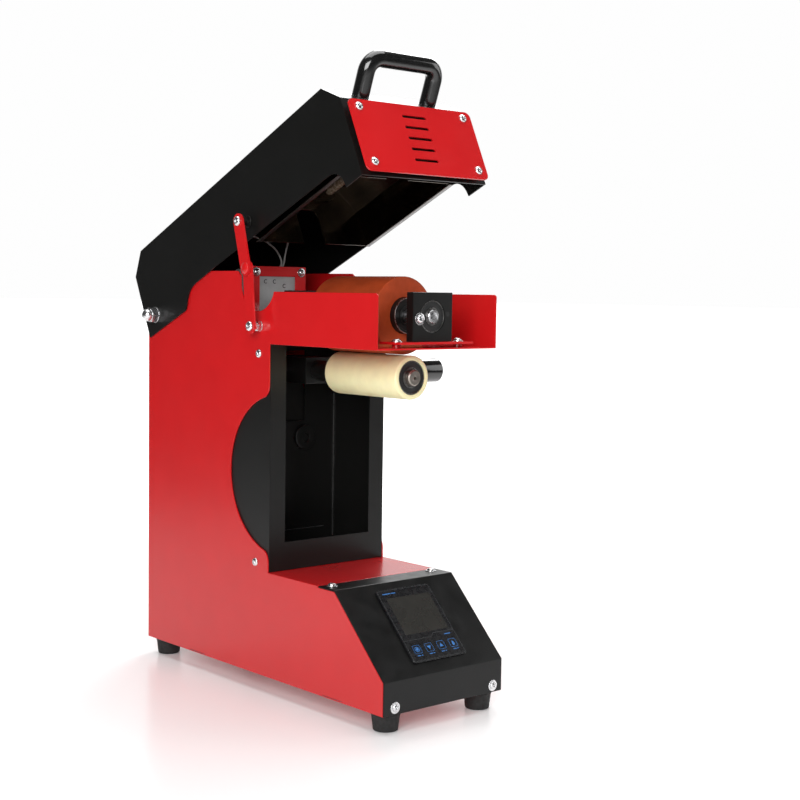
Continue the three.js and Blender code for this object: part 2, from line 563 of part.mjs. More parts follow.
function addLidShell() {
  const left = -LID_SIDE_GAP;
  const right = WIDTH + LID_SIDE_GAP;
  const side = lidSideOutline();
  const rearSkinBottom = 4;
  const wrap = [[-LID_REAR, rearSkinBottom], [-LID_REAR, LID_TOP - LID_BEVEL], [-LID_REAR - LID_BEVEL, LID_TOP],
    [-LID_FRONT + LID_BEVEL, LID_TOP], [-LID_FRONT, LID_TOP - LID_BEVEL], [-LID_FRONT, LID_TAB_BOTTOM]];
  const skin = slabX(bentSheet(wrap.slice().reverse()), left, right);
  const shell = join(skin, slabX(side, left, left + SHEET), slabX(side, right - SHEET, right));
  const hingeHole = rodX(left - 5, right + 5, 0, 0, HINGE_ROD_RADIUS + RUNNING_GAP);
  add('lid_shell', cut(shell, hingeHole), blackCoat, lid);
}

const PLATE = { forward: 502, left: -1.5, right: 201.5, bottom: -31, top: 66.5 };
const PLATE_SCREWS = [[13.5, 56.5], [186.5, 56.5], [13.5, -18.5], [186.5, -18.5]];

function addLidFrontPlate() {
  const face = roundedRectangle(PLATE.bottom, PLATE.top, PLATE.left, PLATE.right, 8);
  let plate = slabY(face, -PLATE.forward - SHEET, -PLATE.forward);
  for (const [x, z] of PLATE_SCREWS) {
    plate = join(plate, rodY(-PLATE.forward - 0.5, -LID_FRONT - GAP, x, z, 6, 12));
  }
  const slots = [];
  for (let row = 0; row < 5; row += 1) {
    const z = 49.6 - row * 15.1;
    slots.push(slabY(roundedRectangle(z - 2, z + 2, 81, 121, 1.9), -PLATE.forward - 5, -PLATE.forward + 5, 2));
  }
  add('lid_front_plate', cut(plate, ...slots), redCoat, lid);
}

// The handle stands square on the front bevel: the path runs across the lid (a) and out from the bevel (b).
function addHandle() {
  const left = 44;
  const right = 156;
  const height = 49.5;
  const bend = 18;
  const outward = Math.SQRT1_2;
  const foot = { y: -(LID_FRONT - LID_BEVEL / 2), z: LID_TOP - LID_BEVEL / 2 };
  const at = (x, b) => new THREE.Vector3(x, foot.y - outward * b, foot.z + outward * b);
  const path = new THREE.CurvePath();
  path.add(new THREE.LineCurve3(at(left, 0.5), at(left, height - bend)));
  path.add(new THREE.QuadraticBezierCurve3(at(left, height - bend), at(left, height), at(left + bend, height)));
  path.add(new THREE.LineCurve3(at(left + bend, height), at(right - bend, height)));
  path.add(new THREE.QuadraticBezierCurve3(at(right - bend, height), at(right, height), at(right, height - bend)));
  path.add(new THREE.LineCurve3(at(right, height - bend), at(right, 0.5)));
  add('lid_handle', barAlong(path, 11, 34, 9), blackGrip, lid);
}

function addReflectorHood() {
  const { start, end, left, right, bottom, shoulder, top, inset, flange } = HOOD;
  const path = [[bottom, left - flange], [bottom, left], [shoulder, left], [top, left + inset],
    [top, right - inset], [shoulder, right], [bottom, right], [bottom, right + flange]];
  const walls = slabY(bentSheet(path.slice().reverse(), HOOD_SHEET), -end, -start);
  const face = polygon(path.slice(1, -1));
  const front = slabY(face, -end, -end + HOOD_SHEET);
  const rear = slabY(face, -start - HOOD_SHEET, -start);
  const shaftNotch = roundedRectangle(bottom - 30, 44, MIDDLE_X - 18, MIDDLE_X + 18, 12);
  const notch = slabY(shaftNotch, -end - 5, -start + 5, 8);
  const wireHole = rodY(-start - 8, -start + 5, HOOD_ENTRY.x, HOOD_ENTRY.height, 5, 12);
  add('reflector_hood', cut(join(walls, front, rear), notch, wireHole), mirrorSteel, lid);
}

function addHeaterTubes() {
  const front = HOOD.end - HOOD_SHEET - GAP;
  const rear = HOOD.start + HOOD_SHEET + GAP;
  const holderDepth = 9;
  for (const [name, x] of [['left', MIDDLE_X - TUBE_OFFSET_X], ['right', MIDDLE_X + TUBE_OFFSET_X]]) {
    add(`${name}_heater_tube`, rodY(-front + holderDepth + GAP, -rear - holderDepth - GAP, x, TUBE_HEIGHT,
      TUBE_RADIUS, 16), quartz, lid);
  }
  const bar = roundedRectangle(TUBE_HEIGHT - 8, TUBE_HEIGHT + 8, MIDDLE_X - 50, MIDDLE_X + 50, 6);
  add('front_tube_holder', slabY(bar, -front, -front + holderDepth), ceramic, lid);
  add('rear_tube_holder', slabY(bar, -rear - holderDepth, -rear), ceramic, lid);
}

// ---- hinge, stay and leads ----

function addHinge() {
  add('hinge_rod', rodX(-14, WIDTH + 14, LID_PIVOT.y, LID_PIVOT.z, HINGE_ROD_RADIUS), steel);
  const hexRadius = 18.6 / Math.sqrt(3);
  const hexLength = 8.6;
  const domeRadius = 8.8;
  const domeStart = 12.4;
  const dome = [[0, hexLength - 1], [domeRadius, hexLength - 1]];
  for (let step = 0; step <= 5; step += 1) {
    const angle = (step / 5) * (Math.PI / 2);
    dome.push([domeRadius * Math.cos(angle), domeStart + domeRadius * Math.sin(angle)]);
  }
  dome[dome.length - 1][0] = 0;
  const hex = new THREE.CylinderGeometry(hexRadius, hexRadius, hexLength, 6).translate(0, hexLength / 2, 0);
  const nut = cut(join(turnedY(dome, 0, 0, COARSE), hex), rodY(-1, domeStart, 0, 0, HINGE_ROD_RADIUS + GAP));
  const outer = LID_SIDE_GAP + GAP;
  add('left_hinge_nut', nut.clone().rotateZ(Math.PI / 2).translate(-outer, LID_PIVOT.y, LID_PIVOT.z), chrome);
  add('right_hinge_nut', nut.rotateZ(-Math.PI / 2).translate(WIDTH + outer, LID_PIVOT.y, LID_PIVOT.z), chrome);
}

// A straight link with round ends, from one pin to the other, with a hole at the first one.
function link(from, to, x, holeRadius) {
  const length = Math.hypot(to.y - from.y, to.z - from.z);
  const half = LINK_WIDTH / 2;
  const outline = new THREE.Shape();
  outline.absarc(0, 0, half, Math.PI, 0);
  outline.lineTo(half, length).absarc(0, length, half, 0, Math.PI);
  outline.holes.push(new THREE.Path().absarc(0, 0, holeRadius, 0, 2 * Math.PI));
  const tilt = Math.atan2(-(to.y - from.y), to.z - from.z);
  return slabX(outline, x, x + LINK_THICKNESS).rotateX(tilt).translate(0, from.y, from.z);
}

// A shoulder screw along -X: a spacer up to the link, a neck through it and a head outside.
function shoulderScrew(start, linkX, pin, spacerRadius) {
  const neck = 4;
  const linkIn = linkX + LINK_THICKNESS + GAP;
  const linkOut = linkX - GAP;
  const head = [[0, -start], [spacerRadius, -start], [spacerRadius, -linkIn], [neck, -linkIn], [neck, -linkOut],
    [6.5, -linkOut], [6.5, -linkOut + 2], [5, -linkOut + 3.6], [0, -linkOut + 3.6]];
  return turnedY(head, 0, 0, 20).rotateZ(Math.PI / 2).translate(0, pin.y, pin.z);
}

function addStay() {
  const holeRadius = 4 + GAP;
  const lower = link(STAY_BODY_PIN, STAY_ELBOW, LOWER_LINK_X, holeRadius);
  const tailHead = rodX(LOWER_LINK_X + LINK_THICKNESS - 0.5, LOWER_LINK_X + LINK_THICKNESS + 2, STAY_ELBOW.y,
    STAY_ELBOW.z, 6, 20);
  add('stay_lower_link', join(lower, tailHead), redCoat);
  const upper = link(STAY_LID_PIN, STAY_ELBOW, UPPER_LINK_X, holeRadius);
  const rivetHead = turnedY([[0, -0.5], [7.5, -0.5], [7.5, 0.8], [5.5, 2.4], [0, 3.2]], 0, 0, 20);
  rivetHead.rotateZ(Math.PI / 2).translate(UPPER_LINK_X, STAY_ELBOW.y, STAY_ELBOW.z);
  add('stay_upper_link', join(upper, rivetHead), redCoat);
  add('stay_body_pin', shoulderScrew(-GAP, LOWER_LINK_X, STAY_BODY_PIN, 5), steel);
  add('stay_lid_pin', shoulderScrew(-LID_SIDE_GAP - GAP, UPPER_LINK_X, STAY_LID_PIN, 6), steel);
}

// Two thin leads leave a common sleeve beside the motor, lie across the gear head, rise behind the bracket
// into the lid and enter the hood from behind.
function addHeaterLeads() {
  const { x, y, bottom, top } = LEAD_SLEEVE;
  lid.updateMatrixWorld(true);
  const inLid = (x, forward, height) => lid.localToWorld(new THREE.Vector3(x, -forward, height));
  const at = (...place) => new THREE.Vector3(...place);
  const stem = barAlong(new THREE.LineCurve3(at(x, y, bottom), at(x, y, top)), 3.6, 1, 6);
  const entry = HOOD_ENTRY;
  const longWay = [at(x - 1.7, y, top - 4), at(x - 3, y + 1, 526), at(131, 406, 540), at(117, 396, 543.5),
    at(110, 378, 543.2), at(108.3, 364, 544.5), at(107, 358.5, 551), at(103, 358, 560), at(94, 358, 570.5),
    at(78, 358, 579.8), at(60, 358, 585.4), inLid(44, 188, 39), inLid(37, 212, 45), inLid(43, 234, 51),
    inLid(entry.x - 1.7, entry.forward - 9, entry.height), inLid(entry.x - 1.7, entry.forward + 9, entry.height)];
  const shortWay = [at(x + 1.7, y, top - 4), at(x, y + 1.5, 529), at(133, 403, 543), at(120, 392, 543.5),
    at(113.5, 378, 543.2), at(111.8, 364, 544.5), at(111.5, 358.5, 551), at(113, 358, 561), at(115.5, 356, 577),
    at(114, 345, 598), inLid(96, 222, 50), inLid(entry.x + 6, entry.forward - 16, entry.height),
    inLid(entry.x + 1.7, entry.forward + 9, entry.height)];
  const leads = [longWay, shortWay].map((route) => barAlong(new THREE.CatmullRomCurve3(route), 1.3, 44, 3));
  add('heater_leads', join(stem, ...leads), greyWire);
}

// ---- electrics in the base ----

function addElectrics() {
  const { x, z, width, height, socketZ, rockerZ } = INLET;
  const across = (half, y0, y1, z0, z1) => box(x - half, x + half, y0, y1, z0, z1);
  const bodyFront = DEPTH - SHEET - GAP - 22;
  const faceY = DEPTH + 2.4;
  const body = across(width / 2 - GAP, bodyFront, DEPTH + 0.5, z - height / 2 + GAP, z + height / 2 - GAP);
  const flange = across(width / 2 + 3, DEPTH + GAP, faceY, z - height / 2 - 3, z + height / 2 + 3);
  const socket = across(13, DEPTH - 16, faceY + 5, socketZ - 9, socketZ + 9);
  const well = across(12.6, DEPTH - 11, faceY + 5, rockerZ - 11.4, rockerZ + 11.4);
  add('power_inlet', cut(join(body, flange), socket, well), darkPlastic);

  const rocker = polygon([[-9.5, -7], [9.5, -7], [9.5, 1.6], [0, 0], [-9.5, 3.4]]);
  const rockerBody = slabX(rocker, x - 12, x + 12).rotateX(-Math.PI / 2);
  add('power_rocker', rockerBody.translate(0, ROCKER_PIVOT_Y, rockerZ), darkPlastic);

  add('power_supply', box(30, 170, 330, 490, SHEET + 2 * GAP, 60), steel);
  add('control_board', box(30, 170, 150, 250, 12, 14), boardGreen);
}

addSidePanels();
addRearPanel();
addFloorsAndDecks();
addColumnFrame();
addFeet();
addControlPanel();
addBearingBlocks();
addRoller();
addDrive();
addArm();
addLever();
addMandrel();
addPressSpring();
addLidShell();
addLidFrontPlate();
addHandle();
addReflectorHood();
addHeaterTubes();
addHinge();
addStay();
addHeaterLeads();
addElectrics();

press.updateMatrixWorld(true);
const footprint = new THREE.Box3().setFromObject(press, true);
const centre = footprint.getCenter(new THREE.Vector3());
press.position.set(-centre.x, -centre.y, -footprint.min.z);

export default press;
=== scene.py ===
import json
import math

import bmesh
import bpy
from mathutils import Matrix, Vector


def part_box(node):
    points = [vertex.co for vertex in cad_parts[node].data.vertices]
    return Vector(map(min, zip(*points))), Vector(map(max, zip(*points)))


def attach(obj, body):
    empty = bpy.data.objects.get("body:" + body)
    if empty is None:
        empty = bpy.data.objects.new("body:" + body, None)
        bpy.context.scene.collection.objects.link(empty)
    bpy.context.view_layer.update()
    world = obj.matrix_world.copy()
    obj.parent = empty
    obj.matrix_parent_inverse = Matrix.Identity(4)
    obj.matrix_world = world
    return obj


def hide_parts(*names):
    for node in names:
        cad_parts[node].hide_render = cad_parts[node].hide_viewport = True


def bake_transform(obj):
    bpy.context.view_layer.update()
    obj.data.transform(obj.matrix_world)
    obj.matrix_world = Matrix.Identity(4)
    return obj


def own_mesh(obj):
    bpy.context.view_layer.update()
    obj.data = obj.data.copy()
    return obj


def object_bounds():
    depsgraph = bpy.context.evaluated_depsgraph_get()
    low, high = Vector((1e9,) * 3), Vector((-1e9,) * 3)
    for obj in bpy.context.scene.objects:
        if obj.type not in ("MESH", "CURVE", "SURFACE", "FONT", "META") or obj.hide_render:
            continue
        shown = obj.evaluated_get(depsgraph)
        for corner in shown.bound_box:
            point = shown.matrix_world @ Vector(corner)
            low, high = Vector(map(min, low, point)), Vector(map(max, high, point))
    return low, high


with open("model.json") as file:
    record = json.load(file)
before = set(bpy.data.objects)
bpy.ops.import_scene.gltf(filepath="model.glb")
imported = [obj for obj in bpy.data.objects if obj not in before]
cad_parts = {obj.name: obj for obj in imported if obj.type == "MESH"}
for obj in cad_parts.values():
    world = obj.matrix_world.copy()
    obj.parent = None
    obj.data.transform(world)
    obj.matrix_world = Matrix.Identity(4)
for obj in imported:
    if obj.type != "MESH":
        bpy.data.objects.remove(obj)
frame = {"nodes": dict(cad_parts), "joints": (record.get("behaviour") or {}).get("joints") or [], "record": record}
cad_low, cad_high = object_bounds()

# The machine's own layout is in millimetres, from the outer face of the left side panel (x = 0), the front
# edge of the base (y = 0) and the bottom edge of the side panels (z = 0). It is found again from that panel.

MM = 0.001
NODES = frame["nodes"]
JOINTS = {joint["name"]: joint for joint in frame["joints"]}
PANEL_LOW, PANEL_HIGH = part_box("left_side_panel")
DEPTH = 535.7
WIDTH = 200.0
ORIGIN = Vector((PANEL_LOW.x, PANEL_HIGH.y - DEPTH * MM, PANEL_LOW.z))
DECK_Z = 139.7
SLOPE_START_Z = 42.3
TROUGH_FLOOR_Z = 443.4

X, Y, Z = Vector((1, 0, 0)), Vector((0, 1, 0)), Vector((0, 0, 1))

LID_ANGLE = math.radians(JOINTS["lid_hinge"]["range_deg"][1])
LID_HINGE = Vector(JOINTS["lid_hinge"]["pos_m"])
ROLLER_AXIS = Vector(JOINTS["roller_spin"]["pos_m"])
ARM_PIVOT = Vector(JOINTS["mandrel_tilt"]["pos_m"])


def at(x, y, z):
    """A point of the machine's layout, as metres in the row frame."""
    return ORIGIN + Vector((x, y, z)) * MM


def in_lid(x, forward, height):
    """A point drawn on the closed lid from its hinge, at its place in the open lid."""
    turned = Matrix.Rotation(-LID_ANGLE, 3, "X") @ (Vector((0, -forward, height)) * MM)
    return Vector((at(x, 0, 0).x, LID_HINGE.y, LID_HINGE.z)) + turned


def lid_direction(forward, height):
    """A direction drawn on the closed lid, as it points in the open lid."""
    return (in_lid(0, forward, height) - in_lid(0, 0, 0)).normalized()


def on_slope(x, up, out):
    """A point on the control panel's slope: across, up the slope and out of it."""
    half = math.sqrt(0.5)
    return at(x, (up - out) * half, SLOPE_START_Z + (up + out) * half)


SLOPE_OUT = (on_slope(0, 0, 1) - on_slope(0, 0, 0)).normalized()
SLOPE_UP = (on_slope(0, 1, 0) - on_slope(0, 0, 0)).normalized()


# ---- materials ----

def add_node(tree, kind, inputs=None, **settings):
    """A node with its settings and inputs. An input is given as a value or as another node's output."""
    node = tree.nodes.new(kind)
    for key, value in settings.items():
        setattr(node, key, value)
    for socket, value in (inputs or {}).items():
        if isinstance(value, bpy.types.NodeSocket):
            tree.links.new(value, node.inputs[socket])
        else:
            node.inputs[socket].default_value = value
    return node


class Shader:
    """A material with a Principled shader, and short ways to feed it."""

    def __init__(self, name, colour, roughness, metallic=0.0, **sockets):
        self.material = bpy.data.materials.new(name)
        self.material.use_nodes = True
        self.tree = self.material.node_tree
        self.principled = self.tree.nodes["Principled BSDF"]
        self.colour = colour
        self.set("Base Color", (*colour, 1.0))
        self.set("Roughness", roughness)
        self.set("Metallic", metallic)
        for socket, value in sockets.items():
            self.set(socket.replace("_", " "), value)
        self.coordinates = self.add("ShaderNodeTexCoord")
        self.normal = None

    def set(self, socket, value):
        self.principled.inputs[socket].default_value = value

    def feed(self, socket, value):
        self.tree.links.new(value, self.principled.inputs[socket])

    def add(self, kind, inputs=None, **settings):
        return add_node(self.tree, kind, inputs, **settings)

    def space(self, stretch=(1, 1, 1)):
        place = self.coordinates.outputs["Object"]
        return self.add("ShaderNodeMapping", {"Vector": place, "Scale": stretch}).outputs["Vector"]

    def noise(self, size, detail=3.0, stretch=(1, 1, 1)):
        """Noise with features about size metres across."""
        inputs = {"Vector": self.space(stretch), "Scale": 1.0 / size, "Detail": detail, "Roughness": 0.55}
        return self.add("ShaderNodeTexNoise", inputs).outputs["Fac"]

    def cells(self, size, feature="F1"):
        inputs = {"Vector": self.space(), "Scale": 1.0 / size}
        return self.add("ShaderNodeTexVoronoi", inputs, feature=feature).outputs["Distance"]

    def remap(self, value, low, high, start=0.3, end=0.7):
        inputs = {"Value": value, "From Min": start, "From Max": end, "To Min": low, "To Max": high}
        return self.add("ShaderNodeMapRange", inputs).outputs["Result"]

    def mix(self, factor, first, second):
        inputs = {"Factor": factor, "A": (*first, 1.0), "B": (*second, 1.0)}
        return self.add("ShaderNodeMix", inputs, data_type="RGBA").outputs["Result"]

    def tint(self, amount, value):
        """Lets the base colour drift by amount, lighter and darker, with value."""
        dark = tuple(c * (1 - amount) for c in self.colour)
        light = tuple(min(1.0, c * (1 + amount)) for c in self.colour)
        self.feed("Base Color", self.mix(self.remap(value, 0, 1), dark, light))

    def gloss(self, low, high, value):
        self.feed("Roughness", self.remap(value, low, high))

    def relief(self, value, distance, strength):
        """Adds a bump of about distance metres from value, over the bumps there are."""
        inputs = {"Strength": strength, "Distance": distance, "Height": value}
        if self.normal is not None:
            inputs["Normal"] = self.normal
        self.normal = self.add("ShaderNodeBump", inputs).outputs["Normal"]
        self.feed("Normal", self.normal)


def powder_coat(name, colour, roughness, grain, depth, **sockets):
    """Baked powder coat: an orange-peel skin with lumps grain metres across, over a slow drift in gloss."""
    shader = Shader(name, colour, roughness, **sockets)
    shader.tint(0.025, shader.noise(0.05, detail=1.0))
    shader.gloss(roughness - 0.02, roughness + 0.03, shader.noise(0.04, detail=1.0))
    shader.relief(shader.noise(grain, detail=2.0), depth, 0.5)
    return shader.material


def textured_black():
    shader = Shader("textured_black_coat", (0.003, 0.003, 0.003), 0.34, Specular_IOR_Level=0.33)
    shader.tint(0.25, shader.noise(0.0011, detail=2.0))
    shader.gloss(0.28, 0.40, shader.noise(0.02))
    shader.relief(shader.cells(0.0022), 0.00008, 0.4)
    shader.relief(shader.noise(0.0012, detail=2.0), 0.00004, 0.4)
    return shader.material


def silicone_rubber():
    shader = Shader("silicone_rubber", (0.38, 0.052, 0.012), 0.6, Specular_IOR_Level=0.25)
    shader.tint(0.14, shader.noise(0.018, stretch=(1, 0.5, 1)))
    shader.gloss(0.52, 0.66, shader.noise(0.01))
    shader.relief(shader.noise(0.0008, detail=2.0), 0.00004, 0.4)
    shader.relief(shader.noise(0.0011, detail=1.0, stretch=(0.05, 1, 0.05)), 0.00003, 0.3)
    return shader.material


def cream_nylon():
    shader = Shader("cream_nylon", (0.84, 0.79, 0.47), 0.38, Subsurface_Weight=0.12, Subsurface_Scale=0.004)
    shader.tint(0.05, shader.noise(0.02))
    shader.gloss(0.33, 0.45, shader.noise(0.008))
    shader.relief(shader.noise(0.0009, detail=1.0, stretch=(0.05, 1, 0.05)), 0.00003, 0.35)
    return shader.material


def plain_finish(name, colour, roughness, tint, gloss=None, grain=None, **sockets):
    """A finish with one drift in colour (amount, size), one in gloss (low, high, size) and one relief
    (size, depth, strength, detail)."""
    shader = Shader(name, colour, roughness, **sockets)
    amount, size = tint
    shader.tint(amount, shader.noise(size))
    if gloss:
        low, high, size = gloss
        shader.gloss(low, high, shader.noise(size))
    if grain:
        size, depth, strength, detail = grain
        shader.relief(shader.noise(size, detail=detail), depth, strength)
    return shader.material


def moulded_plastic(name, colour, roughness):
    return plain_finish(name, colour, roughness, (0.18, 0.004), (roughness - 0.05, roughness + 0.08, 0.006),
                        (0.0005, 0.00003, 0.4, 2.0))


def print_ink(name, colour):
    return plain_finish(name, colour, 0.45, (0.12, 0.0012))


def metal(name, colour, roughness):
    return plain_finish(name, colour, roughness, (0.10, 0.004), (roughness * 0.75, roughness * 1.35, 0.0025),
                        (0.0006, 0.00003, 0.35, 2.0), metallic=1.0)


def stainless_hood():
    shader = Shader("heat_tinted_stainless", (0.09, 0.08, 0.07), 0.18, metallic=1.0)
    patches = shader.remap(shader.noise(0.045, detail=3.0), 0, 1)
    warm = shader.mix(patches, (0.06, 0.052, 0.045), (0.16, 0.13, 0.10))
    shader.feed("Base Color", warm)
    shader.gloss(0.14, 0.26, shader.noise(0.01, stretch=(1, 0.15, 0.3)))
    shader.relief(shader.noise(0.0008, stretch=(1, 0.04, 0.1)), 0.00002, 0.25)
    shader.relief(shader.noise(0.06, detail=1.0), 0.0006, 0.3)
    return shader.material


def frosted_quartz():
    shader = Shader("frosted_quartz", (0.26, 0.20, 0.14), 0.24, Transmission_Weight=0.25, IOR=1.46)
    shader.tint(0.12, shader.noise(0.006, stretch=(1, 0.3, 1)))
    shader.gloss(0.2, 0.34, shader.noise(0.004))
    return shader.material


def wire_insulation():
    shader = Shader("wire_insulation", (0.27, 0.27, 0.262), 0.42)
    shader.tint(0.12, shader.noise(0.004))
    shader.relief(shader.noise(0.0008, stretch=(1, 1, 0.2)), 0.00005, 0.4)
    return shader.material


def solder_mask():
    shader = Shader("solder_mask", (0.014, 0.12, 0.045), 0.35)
    track = shader.cells(0.006, feature="DISTANCE_TO_EDGE")
    lines = shader.mix(shader.remap(track, 0, 1, 0.03, 0.08), (0.03, 0.2, 0.08), (0.012, 0.10, 0.038))
    shader.feed("Base Color", lines)
    return shader.material


MATERIALS = {
    "red_coat": powder_coat("red_powder_coat", (0.55, 0.0080, 0.0100), 0.24, 0.004, 0.00002,
                            Coat_Weight=0.2, Coat_Roughness=0.12),
    "black_coat": powder_coat("black_powder_coat", (0.0045, 0.0045, 0.0042), 0.36, 0.0025, 0.00003,
                              Specular_IOR_Level=0.38),
    "textured_black": textured_black(),
    "silicone": silicone_rubber(),
    "nylon": cream_nylon(),
    "black_grip": plain_finish("gloss_black", (0.006, 0.006, 0.006), 0.14, (0.2, 0.01), (0.10, 0.2, 0.015),
                               (0.004, 0.00006, 0.15, 1.0), Coat_Weight=0.6, Coat_Roughness=0.06),
    "foot_rubber": plain_finish("foot_rubber", (0.009, 0.009, 0.009), 0.72, (0.3, 0.006), (0.62, 0.85, 0.004),
                                (0.0009, 0.0001, 0.5, 3.0)),
    "steel": metal("turned_steel", (0.56, 0.56, 0.57), 0.28),
    "chrome": metal("bright_zinc", (0.74, 0.74, 0.75), 0.22),
    "dark_steel": metal("blackened_steel", (0.060, 0.058, 0.056), 0.38),
    "cast_grey": plain_finish("painted_casting", (0.36, 0.37, 0.37), 0.42, (0.07, 0.01), (0.34, 0.5, 0.006),
                              (0.001, 0.00008, 0.45, 3.0), metallic=0.25),
    "mirror_steel": stainless_hood(),
    "quartz": frosted_quartz(),
    "ceramic": plain_finish("ceramic_holder", (0.55, 0.52, 0.46), 0.6, (0.10, 0.003),
                            grain=(0.0012, 0.00008, 0.5, 3.0)),
    "screen": plain_finish("screen_glass", (0.030, 0.029, 0.026), 0.12, (0.12, 0.03), (0.09, 0.18, 0.02),
                           Coat_Weight=0.4, Coat_Roughness=0.04),
    "dark_plastic": moulded_plastic("dark_plastic", (0.012, 0.012, 0.013), 0.38),
    "grey_wire": wire_insulation(),
    "board": solder_mask(),
}
# Black rubber for the bearing shields and the gear head's marks, also used as painted shade in the edge slits and
# the tapped hole.
SEAL_RUBBER_AND_PAINTED_SHADE = moulded_plastic("seal_rubber_and_painted_shade", (0.008, 0.008, 0.008), 0.5)
BLUE_INK = print_ink("blue_ink", (0.035, 0.17, 0.48))
WHITE_INK = print_ink("white_ink", (0.05, 0.053, 0.056))
BRONZE = metal("holder_bronze", (0.10, 0.075, 0.05), 0.35)
# A bright grey painted as the highlight on the corners of the column's recess.
PAINTED_HIGHLIGHT_SEAM = metal("painted_highlight_seam", (0.45, 0.45, 0.45), 0.35)
# A light grey painted as the highlight on the hood's lit right fold.
PAINTED_HIGHLIGHT_FOLD = metal("painted_highlight_fold", (0.26, 0.26, 0.26), 0.4)
SPINDLE_STEEL = metal("spindle_steel", (0.30, 0.27, 0.24), 0.42)
RACE_STEEL = metal("race_steel", (0.20, 0.195, 0.19), 0.3)
LABEL_FILM = moulded_plastic("label_film", (0.006, 0.006, 0.007), 0.26)


# ---- mesh building ----

SHARP_EDGE = math.radians(35)


def finish_mesh(mesh):
    """Merges doubled vertices, faces every side outwards and keeps sharp edges crisp."""
    work = bmesh.new()
    work.from_mesh(mesh)
    bmesh.ops.remove_doubles(work, verts=work.verts, dist=1e-6)
    bmesh.ops.recalc_face_normals(work, faces=work.faces)
    for face in work.faces:
        face.smooth = True
    for edge in work.edges:
        edge.smooth = edge.is_manifold and edge.calc_face_angle(0.0) < SHARP_EDGE
    work.to_mesh(mesh)
    work.free()


def add_object(name, data):
    thing = bpy.data.objects.new(name, data)
    bpy.context.scene.collection.objects.link(thing)
    return thing


def piece(name, verts, faces, body, slot, material=None, replaces=(), place=None):
    """A piece of the machine: its mesh in the row frame, the body it rides on and the CAD nodes it replaces.
    A piece without a body is left unattached."""
    mesh = bpy.data.meshes.new(name)
    mesh.from_pydata([tuple(v) for v in verts], [], faces)
    if place is not None:
        mesh.transform(place)
    finish_mesh(mesh)
    mesh.materials.append(material or MATERIALS[slot])
    thing = add_object(name, mesh)
    if body:
        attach(thing, body)
    if replaces:
        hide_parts(*replaces)
    return thing


def circle_angles(count):
    return [2 * math.pi * k / count for k in range(count)]


def round_ring(radius, height, count):
    """count points around +Z, in metres, from a radius and a height in millimetres."""
    return [Vector((radius * math.cos(a), radius * math.sin(a), height)) * MM for a in circle_angles(count)]


def facing(point, direction, spin=0.0):
    """The placement of something drawn around +Z: its base at point and its +Z along direction."""
    turn = Vector(direction).to_track_quat("Z", "Y").to_matrix().to_4x4()
    return Matrix.Translation(point) @ turn @ Matrix.Rotation(spin, 4, "Z")


def rounded_corners(points, steps=3):
    """Replaces each corner given as (r, h, fillet) by a short arc; a corner without a fillet stays sharp."""
    result = []
    for i, point in enumerate(points):
        here = Vector(point[:2])
        if len(point) == 2:
            result.append(here)
            continue
        before, after = Vector(points[i - 1][:2]), Vector(points[(i + 1) % len(points)][:2])
        into, out = (before - here).normalized(), (after - here).normalized()
        half = into.angle(out) / 2
        reach = min(point[2] / math.tan(half), (before - here).length * 0.49, (after - here).length * 0.49)
        radius = reach * math.tan(half)
        centre = here + (into + out).normalized() * (radius / math.sin(half))
        first, last = here + into * reach - centre, here + out * reach - centre
        sweep = first.angle_signed(last)
        for step in range(steps + 1):
            angle = -sweep * step / steps
            cos, sin = math.cos(angle), math.sin(angle)
            result.append(centre + Vector((first.x * cos - first.y * sin, first.x * sin + first.y * cos)))
    return result


def turned(points, segments, closed=False):
    """A body of revolution about +Z from (radius, height[, fillet]) in millimetres. An open profile starts
    and ends on the axis; a closed one is a ring."""
    profile = rounded_corners(points)
    verts, rings = [], []
    for r, h in profile:
        if r < 1e-6:
            rings.append([len(verts)])
            verts.append(Vector((0, 0, h * MM)))
            continue
        rings.append(list(range(len(verts), len(verts) + segments)))
        verts += round_ring(r, h, segments)
    faces = []
    pairs = list(zip(rings, rings[1:])) + ([(rings[-1], rings[0])] if closed else [])
    for lower, upper in pairs:
        for k in range(segments):
            n = (k + 1) % segments
            below = [lower[k % len(lower)], lower[n % len(lower)]]
            above = [upper[n % len(upper)], upper[k % len(upper)]]
            unique = list(dict.fromkeys(below + above))
            if len(unique) > 2:
                faces.append(unique)
    return verts, faces


def tube(points, radius, sides):
    """A round bar of radius metres along points, with flat ends."""
    rings = []
    tangent = (points[1] - points[0]).normalized()
    normal = tangent.orthogonal().normalized()
    for i, point in enumerate(points):
        ahead = (points[min(i + 1, len(points) - 1)] - points[max(i - 1, 0)]).normalized()
        normal = (tangent.rotation_difference(ahead) @ normal).normalized()
        tangent = ahead
        side = tangent.cross(normal)
        spokes = [normal * math.cos(a) + side * math.sin(a) for a in circle_angles(sides)]
        rings.append([point + spoke * radius for spoke in spokes])
    return ring_stack(rings, sides)


def box_part(spot, first, second, third):
    """A box between three pairs of coordinates, with its corners placed by spot."""
    corners = [spot(a, b, c) for a in first for b in second for c in third]
    return corners, [[0, 1, 3, 2], [4, 6, 7, 5], [0, 4, 5, 1], [2, 3, 7, 6], [0, 2, 6, 4], [1, 5, 7, 3]]


def joined(*parts):
    """Several (verts, faces) as one."""
    verts, faces = [], []
    for part_verts, part_faces in parts:
        faces += [[i + len(verts) for i in face] for face in part_faces]
        verts += part_verts
    return verts, faces


def moved(part, place):
    verts, faces = part
    return [place @ v for v in verts], faces


